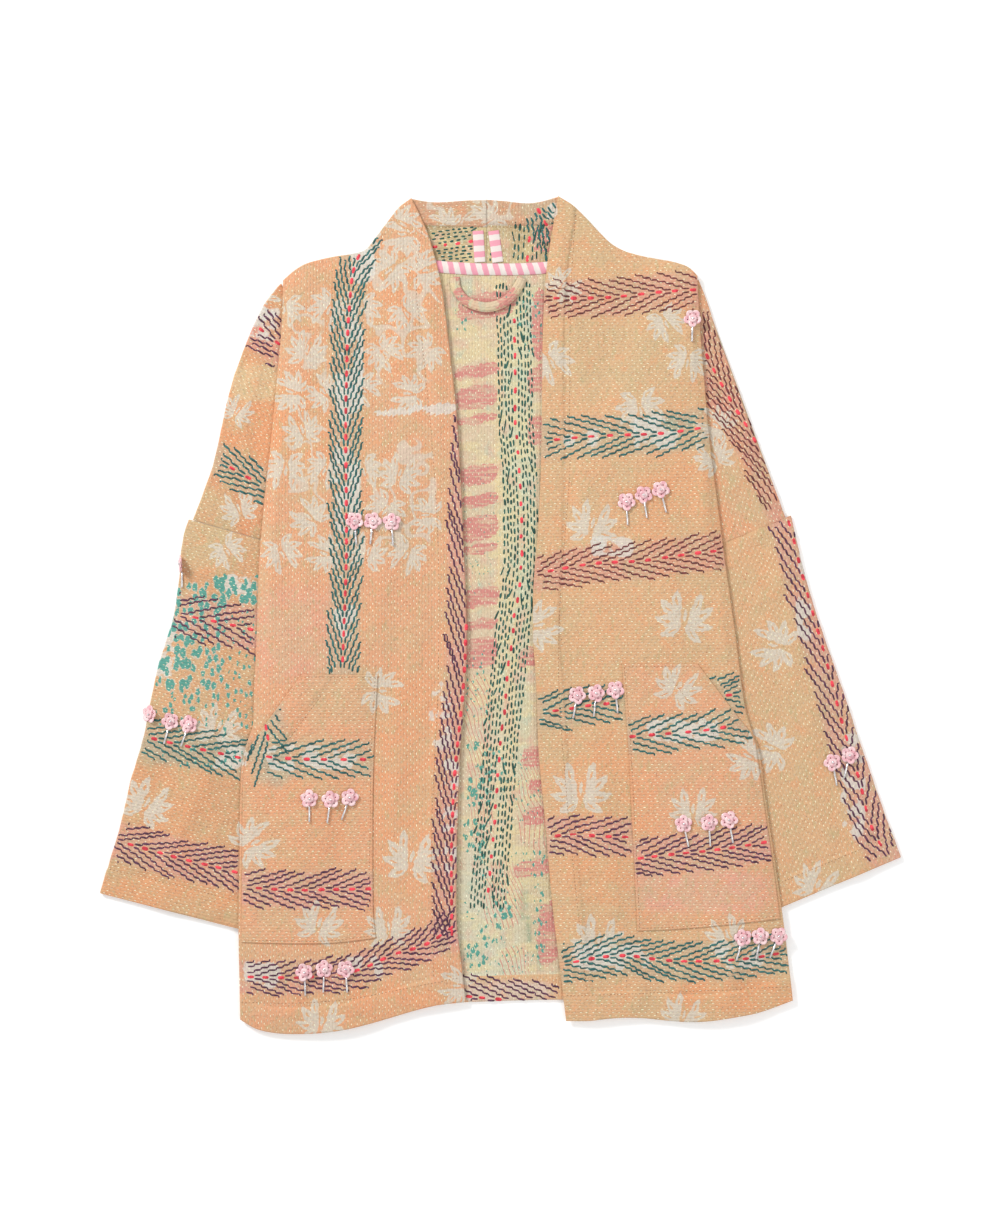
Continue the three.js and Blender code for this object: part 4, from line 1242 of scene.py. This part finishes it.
STITCH_FACES = np.array(
    [(0, 3, 2), (0, 2, 1), (1, 2, 5), (1, 5, 4), (2, 3, 6), (2, 6, 5), (4, 5, 7), (5, 6, 7)]
)
LOW_STITCH_FACES = np.array([(0, 2, 3), (0, 3, 1), (4, 3, 2), (4, 1, 3)])


def short_stitches(name, ends, width, height, material, below=False):
    """Short stitches, each a low ridge that dives into the cloth at both ends. Those below are simpler."""
    ends = np.array(ends)
    a, b = ends[:, 0], ends[:, 1]
    along = b - a
    flat = along[:, :2] / np.maximum(np.linalg.norm(along[:, :2], axis=1, keepdims=True), 1e-9)
    side = np.stack([-flat[:, 1], flat[:, 0], np.zeros(len(a))], 1) * (width / 2)
    lift, sunk = np.array([0, 0, height]), np.array([0, 0, STITCH_DEPTH])
    if below:
        middle = (a + b) / 2
        rows = [a + sunk, middle - side + sunk, middle + side + sunk, middle - lift, b + sunk]
    else:
        near, far = a + 0.28 * along, a + 0.72 * along
        rows = [a - sunk, near + side - sunk, near + lift, near - side - sunk]
        rows += [far + side - sunk, far + lift, far - side - sunk, b - sunk]
    points = np.stack(rows, 1).reshape(-1, 3)
    pattern = LOW_STITCH_FACES if below else STITCH_FACES
    faces = (np.arange(len(a))[:, None, None] * len(rows) + pattern).reshape(-1, 3)
    sewn(name, points, faces.tolist(), material)


def running_stitches(surface, piece, x0, y0, x1, y1, rows_angle, below=False):
    """Rows of running stitches over a piece, in brick order, a little uneven."""
    angle = math.radians(rows_angle)
    along = np.array([math.cos(angle), math.sin(angle)])
    across = np.array([-along[1], along[0]])
    corners = np.array([(x0, y0), (x1, y0), (x1, y1), (x0, y1)])
    u, v = corners @ along, corners @ across
    first_place, last_place = math.floor(u.min() / STITCH_PITCH), math.ceil(u.max() / STITCH_PITCH)
    ends = []
    for row in range(math.ceil(v.min() / ROW_PITCH), math.floor(v.max() / ROW_PITCH) + 1):
        shift = (row % 2) * STITCH_PITCH / 2 + RANDOM.uniform(-0.9, 0.9)
        starts = np.arange(first_place, last_place) * STITCH_PITCH + shift
        starts = starts + RANDOM.uniform(-0.7, 0.7, len(starts))
        drift = RANDOM.uniform(-0.3, 0.3, len(starts))
        size = STITCH_LENGTH * RANDOM.uniform(0.75, 1.25, len(starts))
        for start, off, long in zip(starts, drift, size):
            middle = along * (start + long / 2) + across * (row * ROW_PITCH + off)
            if x0 <= middle[0] <= x1 and y0 <= middle[1] <= y1:
                first = surface.at(*(middle - along * long / 2), piece, below)
                second = surface.at(*(middle + along * long / 2), piece, below)
                if first and second:
                    ends.append((first, second))
    name = "running_stitches_" + piece + ("_outside" if below else "")
    short_stitches(name, ends, STITCH_WIDTH, STITCH_HEIGHT, "white", below)


class Threads:
    """Collects thick stitches of one colour, each a run of half-round thread, into one mesh."""

    SECTION = [(-1.0, 0.0), (-0.62, 0.72), (0.0, 1.0), (0.62, 0.72), (1.0, 0.0)]
    RUNS = ((0.0, 0.3), (0.14, 0.88), (0.5, 1.0), (0.86, 0.88), (1.0, 0.3))
    STEPS = ((0.0, 0.7), (0.5, 1.0), (1.0, 0.7))

    def __init__(self):
        self.points, self.faces = [], []

    def add(self, start, end, width, height, up=1.0, rings=RUNS):
        start, end = np.array(start), np.array(end)
        along = end - start
        flat = math.hypot(along[0], along[1])
        if flat < 0.2:
            return
        side = np.array([-along[1], along[0], 0]) / flat
        offset = len(self.points)
        for share, full in rings:
            middle = start + share * along
            for across, high in self.SECTION:
                rise = (height * high * full - 0.15) * up
                self.points.append(middle + side * (across * width / 2 * full * up) + [0, 0, rise])
        size = len(self.SECTION)
        for ring in range(len(rings) - 1):
            for k in range(size - 1):
                a = offset + ring * size + k
                self.faces.append((a, a + size, a + size + 1, a + 1))


class Line:
    """A line through points, walked by distance."""

    def __init__(self, rows):
        rows = np.array(rows, float)
        knots = np.concatenate([[0], np.cumsum(np.linalg.norm(np.diff(rows, axis=0), axis=1))])
        self.length = knots[-1]
        self.walk = np.linspace(0, self.length, max(2, round(self.length / 2)) + 1)
        if len(rows) > 2:
            self.points = smooth_between(knots, rows, self.walk, False)
        else:
            self.points = rows[0] + (rows[1] - rows[0]) * (self.walk / self.length)[:, None]

    def at(self, distance, across=0.0):
        """The place at a distance along and beside the line. Before its start it runs on straight."""
        low = np.clip(distance, 0, self.length)
        middle = np.array([np.interp(low, self.walk, self.points[:, i]) for i in (0, 1)])
        ahead = np.array([np.interp(min(low + 3, self.length), self.walk, self.points[:, i]) for i in (0, 1)])
        behind = np.array([np.interp(max(low - 3, 0), self.walk, self.points[:, i]) for i in (0, 1)])
        along = (ahead - behind) / np.linalg.norm(ahead - behind)
        return middle + along * (distance - low) + np.array([-along[1], along[0]]) * across


class Band(NamedTuple):
    """One chevron band along a line through points, which its chevrons point along."""

    piece: str
    thread: str
    half: float  # half its width
    pitch: float  # distance between chevrons
    points: list
    run: float = RUN  # length of a stitch along a row
    first: float = 0.0  # where the first chevron's tip is
    sides: tuple = (-1, 1)  # which legs the chevrons have


POCKET_CORNER = [(-226, -152), (-243, -62)]
BANDS = [
    Band(
        "front_right", "teal", 16, 13,
        [(-137, 368), (-145, 350), (-151, 306), (-154, 218), (-154, 49), (-158, -60)],
        first=15.0,
    ),
    Band(
        "front_right", "plum", 19, 14.5,
        [(-26, 216), (-31, 150), (-33, 100), (-34, 0), (-37, -68), (-46, -163), (-49, -230), (-48.5, -322)],
    ),
    Band(
        "front_right", "plum", 17, 15,
        [(-52, -314), (-73, -328), (-104, -338), (-147, -356), (-190, -361), (-258, -361)],
    ),
    Band("pocket_right", "teal", 19, 18.5, [(-123, -144), (-170, -144), (-208, -143), (-235, -141)]),
    Band("pocket_right", "teal", 22, 10.5, POCKET_CORNER, CORNER_RUN, first=33.0, sides=(1,)),
    Band("pocket_right", "teal", 16, 13.0, POCKET_CORNER, CORNER_RUN, first=51.0, sides=(-1,)),
    Band("pocket_right", "plum", 19, 15.5, [(-120, -273), (-169, -274), (-213, -274), (-258, -271)]),
    Band("sleeve_lower_right", "plum", 22, 19, [(-234, -18), (-264, -11), (-305, -2.5), (-336, 3)]),
    Band("sleeve_lower_right", "teal", 21, 17, [(-250, -145), (-281, -138), (-314, -131), (-362, -120)]),
    Band(
        "sleeve_lower_right", "plum", 20, 15.5,
        [(-254, -260), (-279, -253), (-308, -246), (-338, -238), (-392, -223)],
    ),
    Band(
        "sleeve_upper_right", "plum", 22, 19,
        [(-262, 303), (-238, 284), (-223, 272), (-200, 254)],
        STEEP_RUN, 15.0,
    ),
    Band(
        "sleeve_upper_right", "teal", 18, 18.5,
        [(-290, 159), (-269, 147), (-236, 128), (-208, 112)],
        STEEP_RUN, 9.3,
    ),
    Band("front_left", "maroon", 19, 17, [(42, 316), (106, 317), (158, 322), (202, 325)]),
    Band("front_left", "teal", 21, 17.5, [(42, 174), (106, 179), (161, 181), (210, 188)]),
    Band("front_left", "maroon", 19, 16.5, [(226, 65), (197, 62), (140, 54), (90, 51), (45, 43), (34, 41)]),
    Band("front_left", "teal", 19, 17, [(136, -86), (92, -90), (50, -96), (36, -97)]),
    Band("front_left", "teal", 20, 13.0, [(262, -76), (219, -81), (150, -86)], first=12.0),
    Band("front_left", "plum", 19, 17, [(138, -222), (102, -221), (69, -219), (42, -223)]),
    Band(
        "front_left", "teal", 20, 15.5,
        [(288, -336), (250, -342), (214, -345), (166, -345), (123, -340), (55, -349)],
    ),
    Band("pocket_left", "teal", 19, 18, [(254, -106), (203, -115), (143, -120), (124, -122)]),
    Band("pocket_left", "plum", 19, 15.5, [(274, -225), (216, -234), (170, -239), (130, -244)]),
    Band(
        "sleeve_upper_left", "maroon", 22, 16,
        [(196, 286), (202, 269), (215, 241), (232, 211), (250, 181), (268, 147), (283, 108)],
        STEEP_RUN,
    ),
    Band(
        "sleeve_lower_left", "plum", 20, 18.5,
        [(284, 106), (292, 78), (300, 45), (324, -41), (345, -122), (357, -161), (374, -220), (388, -242)],
    ),
    Band("collar_back_left", "teal", 17, 13, [(56, 372), (36, 408)]),
]
BACK_HEM_BAND = Band("back", "plum", 21, 15, [(-44, -380), (64, -390)])
OUTER_BACK_BANDS = [
    Band("back", "teal", 20, 16, [(-190, 215), (0, 222), (185, 214)]),
    Band("back", "plum", 20, 16, [(205, 40), (0, 34), (-215, 38)]),
    Band("back", "teal", 20, 16, [(-235, -140), (0, -148), (250, -138)]),
    Band("back", "plum", 20, 16, [(270, -322), (0, -330), (-250, -326)]),
]


def chevron_band(surface, threads, band, below=False):
    """Chevrons that point along the line: each leg steps outwards, run by run, behind a red stitch.

    The legs of chevrons past the line's end still show.
    """
    line = Line(band.points)
    up = -1.0 if below else 1.0
    stitches = threads[band.thread]
    width = THREAD * THREAD_WIDTHS[band.thread]

    def find(distance, across=0.0):
        return surface.at(*line.at(distance, across), band.piece, below)

    for tip in np.arange(band.first, line.length + band.half * band.run / RISE, band.pitch):
        tip = tip + RANDOM.uniform(-1.2, 1.2)
        red_tip, red_tail = find(tip), find(tip - CENTRE_STITCH)
        if red_tip and red_tail and tip < line.length + 2:
            threads["red"].add(red_tail, red_tip, CENTRE_WIDTH * RANDOM.uniform(0.85, 1.1), CENTRE_HEIGHT, up)
        for side in band.sides:
            across = side * CENTRE_GAP
            distance = tip - CENTRE_STITCH - 0.4
            reach = band.half + RANDOM.uniform(-1.8, 1.8)
            while abs(across) < reach and distance > -LEAD:
                run = band.run * RANDOM.uniform(0.82, 1.18)
                slope = side * RANDOM.uniform(0.1, 0.9)
                shows = distance < line.length
                start, end = find(distance, across), find(distance - run, across + slope)
                if start and end and shows:
                    stitches.add(start, end, width * RANDOM.uniform(0.85, 1.15), THREAD_HEIGHT, up)
                step = side * RISE * RANDOM.uniform(0.88, 1.12)
                following = find(distance - run - 0.6, across + step)
                if end and following and shows:
                    stitches.add(end, following, width * 0.85, STEP_HEIGHT, up, Threads.STEPS)
                distance -= run + 0.3
                across += step


# Plain dashes: the backs of the chevrons, as they show inside
DASHES = [
    # piece, half the width, a dash's length, the gap beside it, from one red stitch to the next, the line
    (
        "back", 17, 6.0, 3.3, 16.5,
        [
            (13, 335), (15, 254), (16, 189), (20, 137), (21, 95), (20, 36), (14, -3),
            (6, -77), (1, -127), (-5, -204), (-13, -290),
        ],
    ),
    ("collar_back_right", 17, 4.4, 3.6, 12.5, [(-72, 366), (-28, 372)]),
    ("collar_back_left", 1.6, 3.4, 3.2, 90.0, [(-8, 350), (-9, 384)]),
    ("collar_back_left", 17, 7.0, 4.6, 19.0, [(28, 352), (30, 388)]),
]


def dash_band(surface, threads, piece, half, length, gap, red_pitch, points):
    line = Line(points)
    for across in np.arange(-half, half + 0.1, gap):
        distance = RANDOM.uniform(0, 6)
        centre = abs(across) < gap / 2
        while distance < line.length:
            long = length * RANDOM.uniform(0.7, 1.2)
            off = across + RANDOM.uniform(-0.5, 0.5)
            slant = RANDOM.uniform(-0.8, 0.8)
            if not centre and RANDOM.random() < 0.05:
                long, slant = 2 * long, math.copysign(3.0, across)
            start = surface.at(*line.at(distance, off), piece)
            end = surface.at(*line.at(distance + long, off + slant), piece)
            if start and end:
                width = CENTRE_WIDTH if centre else THREAD * RANDOM.uniform(0.75, 1.05)
                threads["red" if centre else "forest"].add(start, end, width, DASH_HEIGHT)
            distance += red_pitch * RANDOM.uniform(0.9, 1.1) if centre else long + RANDOM.uniform(1.6, 3.2)


# Topstitching: one line of short dark stitches, by piece
TOPSTITCHES = [
    (
        "front_right",
        [(-76, 404), (-84, 330), (-77, 260), (-69, 180), (-62, 60), (-62, -60), (-68, -200), (-67, -360)],
    ),
    (
        "front_left",
        [(75, 400), (71, 340), (69, 211), (69, 139), (66, 100), (60, 24), (58, -53), (66, -180), (86, -376)],
    ),
    ("front_right", [(-259, -387), (-194, -387), (-142, -382), (-91, -372), (-42, -362)]),
    ("front_left", [(62, -380), (134, -378), (205, -375), (288, -371)]),
    ("pocket_right", [(-256, -324), (-220, -325), (-168, -325), (-127, -320)]),
    ("pocket_right", [(-127, -320), (-129.5, -293), (-130, -204), (-128.5, -128), (-125, -62.5)]),
    ("pocket_right", [(-125, -62.5), (-197, -62)]),
    ("pocket_right", [(-236, -158), (-177, -78)]),
    ("pocket_left", [(277, -300), (229, -306), (181, -311), (139, -313)]),
    ("pocket_left", [(139, -313), (136.5, -257), (134, -210), (130.5, -139), (123.5, -51)]),
    ("pocket_left", [(123.5, -51), (196, -51)]),
    ("pocket_left", [(235, -148), (172, -66)]),
    ("collar_back_right", [(-99, 386), (-60, 387), (-14.5, 388)]),
    ("collar_back_left", [(-12.5, 388), (30, 387), (86, 386)]),
    ("sleeve_lower_right", [(-391, -254), (-320, -271), (-262, -286)]),
    ("sleeve_lower_left", [(392, -220), (340, -242), (278, -268)]),
]


def topstitching(surface):
    ends = []
    for piece, points in TOPSTITCHES:
        line = Line(points)
        for distance in np.arange(0, line.length - 2, TOP_PITCH):
            start = surface.at(*line.at(distance), piece, least=0.5)
            end = surface.at(*line.at(distance + TOP_LENGTH), piece, least=0.5)
            if start and end:
                ends.append((start, end))
    short_stitches("topstitching", ends, TOP_WIDTH, TOP_HEIGHT, "topstitch")


FLOWERS = [
    # piece; then each flower's x and y, its tilt about the Y axis and its stem's lean in degrees
    ("front_right", (-145.5, 94, 0, 4), (-127.5, 94, 0, -6), (-108.5, 93, 0, 3)),
    ("pocket_right", (-190.5, -183, 0, 0), (-169.5, -184, 0, -8), (-150.5, -182, 0, -20)),
    ("front_right", (-195.5, -356, 0, 2), (-176, -353, 0, -2), (-154.5, -353, 0, 4)),
    ("pocket_right", (-258.4, -283, -72, 0)),
    ("sleeve_lower_right", (-318, 51, -74, 0)),
    ("sleeve_lower_right", (-350, -99, -35, -18), (-329.5, -106, 0, -16), (-311, -109, 0, -20)),
    ("front_left", (191.5, 296, 0, -2)),
    ("front_left", (125.5, 113, 0, 3), (142.5, 120, 0, 8), (159.5, 125, 0, 14)),
    ("front_left", (76.5, -80, 0, -10), (95.5, -78, 0, -6), (114.5, -74.5, 0, 6)),
    ("front_left", (241.5, -321.5, 0, -16), (259, -320, 0, -10), (277.5, -320, 0, -22)),
    ("pocket_left", (182.5, -208, 0, 12), (207.5, -207, 0, 4), (227.5, -204, 0, 10)),
    ("sleeve_lower_left", (331.5, -147, 0, 10), (348.5, -140, 0, -14), (362.5, -134, 66, 10)),
]
SEQUIN_PROFILE = [
    # radius, height
    (SEQUIN_HOLE, 0.0),
    (SEQUIN_RADIUS, 0.45),
    (SEQUIN_RADIUS, 0.6),
    (2.4, 0.24),
    (HOLE_SHADE_RADIUS, 0.15),
    (SEQUIN_HOLE, 0.1),
]
# Painted shade: these rows of faces, round each sequin's hole, are coloured dark.
HOLE_SHADE_ROWS = 2  # the last rows of the profile's faces, round the hole


def rotation(axis, degrees):
    return np.array(Matrix.Rotation(math.radians(degrees), 3, Vector(axis)))


class Turned:
    """Collects closed profiles turned round an axis, such as sequins and beads, into one mesh."""

    def __init__(self):
        self.points, self.faces = [], []

    def add(self, profile, sides, origin, axes):
        """profile has radii and heights. The third of the axes, in columns, is the one it turns round."""
        offset = len(self.points)
        for radius, high in profile:
            for k in range(sides):
                angle = 2 * math.pi * k / sides
                self.points.append(origin + axes @ [radius * math.cos(angle), radius * math.sin(angle), high])
        for row in range(len(profile)):
            low, high = offset + row * sides, offset + (row + 1) % len(profile) * sides
            for k in range(sides):
                after = (k + 1) % sides
                self.faces.append((low + k, high + k, high + after, low + after))

    def bead(self, start, end, radius):
        """A short glass tube with a hole through it."""
        length = np.linalg.norm(end - start)
        along = (end - start) / length
        side = np.cross(along, [0, 0, 1.0])
        side /= np.linalg.norm(side)
        hole, bevel = BEAD_HOLE * radius, 0.12 * radius
        profile = [(hole, 0), (radius - bevel, 0), (radius, bevel)]
        profile += [(radius, length - bevel), (radius - bevel, length), (hole, length)]
        self.add(profile, BEAD_SIDES, start, np.stack([side, np.cross(along, side), along], 1))


def flower(sequins, beads, surface, piece, x, y, tilt, lean):
    """A ring of sequins with one on top, a small bead at its heart and a bugle bead under it as a stem."""
    spot = surface.at(x, y, piece, least=0.05)
    if spot is None:
        return
    base = np.array(spot) + [0, 0, FOOT_HEIGHT]
    base[2] = max(base[2], FLOWER_REACH * abs(math.sin(math.radians(tilt))))
    whole = rotation((0, 1, 0), tilt)
    first = RANDOM.uniform(0, 360 / PETALS)
    for petal in range(PETALS):
        angle = math.radians(first + petal * 360 / PETALS)
        out = np.array([math.cos(angle), math.sin(angle), 0])
        leaning = rotation((-out[1], out[0], 0), RANDOM.uniform(-16, 4))
        beside = out * PETAL_RING * RANDOM.uniform(0.92, 1.06) + [0, 0, PETAL_HEIGHTS[petal % 2]]
        sequins.add(SEQUIN_PROFILE, SEQUIN_SIDES, base + whole @ beside, whole @ leaning)
    top = whole @ rotation((1, 0.4, 0), RANDOM.uniform(-10, 10))
    sequins.add(SEQUIN_PROFILE, SEQUIN_SIDES, base + whole @ [0, 0, TOP_SEQUIN], top)
    eye = base + whole @ [0, 0, HEART_HEIGHT]
    across = whole @ [1.0, 0.6, 0]
    beads.bead(eye - across, eye + across, HEART_RADIUS)
    down = rotation((0, 0, 1), lean) @ [0, -1.0, 0]
    ends = [np.array(spot) + down * far for far in (STEM_START, STEM_START + STEM_LENGTH)]
    ends = [surface.at(end[0], end[1], piece, least=0.05) for end in ends]
    if all(ends):
        lift = np.array([0, 0, STEM_RADIUS + STEM_GAP])
        beads.bead(ends[0] + lift, ends[1] + lift, STEM_RADIUS)


def flowers(surface):
    sequins, beads = Turned(), Turned()
    for piece, *rows in FLOWERS:
        for row in rows:
            flower(sequins, beads, surface, piece, *row)
    made = sewn("sequins", sequins.points, sequins.faces, "sequin")
    # Painted shade: the faces round each sequin's hole take a dark colour for the shade in it.
    made.data.materials.append(MATERIALS["eyelet"])
    row = np.arange(len(sequins.faces)) // SEQUIN_SIDES % len(SEQUIN_PROFILE)
    hole_shade_faces = row >= len(SEQUIN_PROFILE) - HOLE_SHADE_ROWS
    made.data.polygons.foreach_set("material_index", hole_shade_faces.astype(np.int32))
    sewn("bugle_beads", beads.points, beads.faces, "bead")


# Making it all


def make_cloth():
    panel("back", 90, SAND, BACK_CREASES, 11, ("low",), BACK_CELL, outside_up=False)
    panel("front_right", 90, PEACH, CREASES, 12, ("low", "right"))
    panel("front_left", 0, SAND, CREASES, 13, ("low", "left"))
    panel("collar_back_right", 0, COLLAR, [], 14, ("high",), outside_up=False, inside_ground=OLD_CREAM)
    panel("collar_back_left", 90, COLLAR, [], 15, ("high",), outside_up=False, inside_ground=OLD_CREAM)
    pocket("pocket_right", "front_right", PEACH, 16, [(-248.5, -128), (-198, -59)])
    pocket("pocket_left", "front_left", PEACH, 17, [(252.5, -122), (196.5, -48.5)])
    sleeve("sleeve_upper_right", -28, RUSSET, 18, False)
    sleeve("sleeve_lower_right", -13, TAN, 19, True)
    sleeve("sleeve_upper_left", -62, PEACH, 20, False)
    sleeve("sleeve_lower_left", -72, SAND, 21, True)
    strip("neck_binding", "neck_binding_tape", "tape_slanted", 0.9)
    strip("seam_tape_right", "seam_tape_right_tape", "tape", 0.15)
    strip("seam_tape_left", "seam_tape_left_tape", "tape", 0.15)
    strip("hanger_loop", "hanger_loop_cloth", "inner", 0.5)


QUILTING = [
    # piece, x0, y0, x1, y1, direction of the rows in degrees
    ("front_right", -262, -418, -33, 418, 90),
    ("front_left", 32, -408, 292, 420, 0),
    ("pocket_right", -260, -328, -122, -58, 0),
    ("pocket_left", 120, -316, 280, -48, 0),
    ("sleeve_upper_right", -312, 60, -215, 334, -28),
    ("sleeve_lower_right", -400, -300, -238, 97, -13),
    ("sleeve_upper_left", 196, 60, 290, 338, -62),
    ("sleeve_lower_left", 230, -285, 400, 101, -72),
    ("back", -48, -388, 64, 346, 90),
    ("collar_back_right", -124, 344, -13, 418, 0),
    ("collar_back_left", -14, 344, 112, 418, 90),
]


def make_sewing():
    surface = Surface()
    for row in QUILTING:
        running_stitches(surface, *row)
    running_stitches(surface, "back", -262, -396, 292, 366, 90, below=True)
    threads = {name: Threads() for name in ("teal", "forest", "plum", "maroon", "red")}
    for band in BANDS + [BACK_HEM_BAND]:
        chevron_band(surface, threads, band)
    for band in OUTER_BACK_BANDS:
        chevron_band(surface, threads, band, below=True)
    for row in DASHES:
        dash_band(surface, threads, *row)
    for name, collected in threads.items():
        sewn("embroidery_" + name, collected.points, collected.faces, name)
    topstitching(surface)
    flowers(surface)


make_camera()
make_surroundings()
make_materials()
make_cloth()
make_sewing()
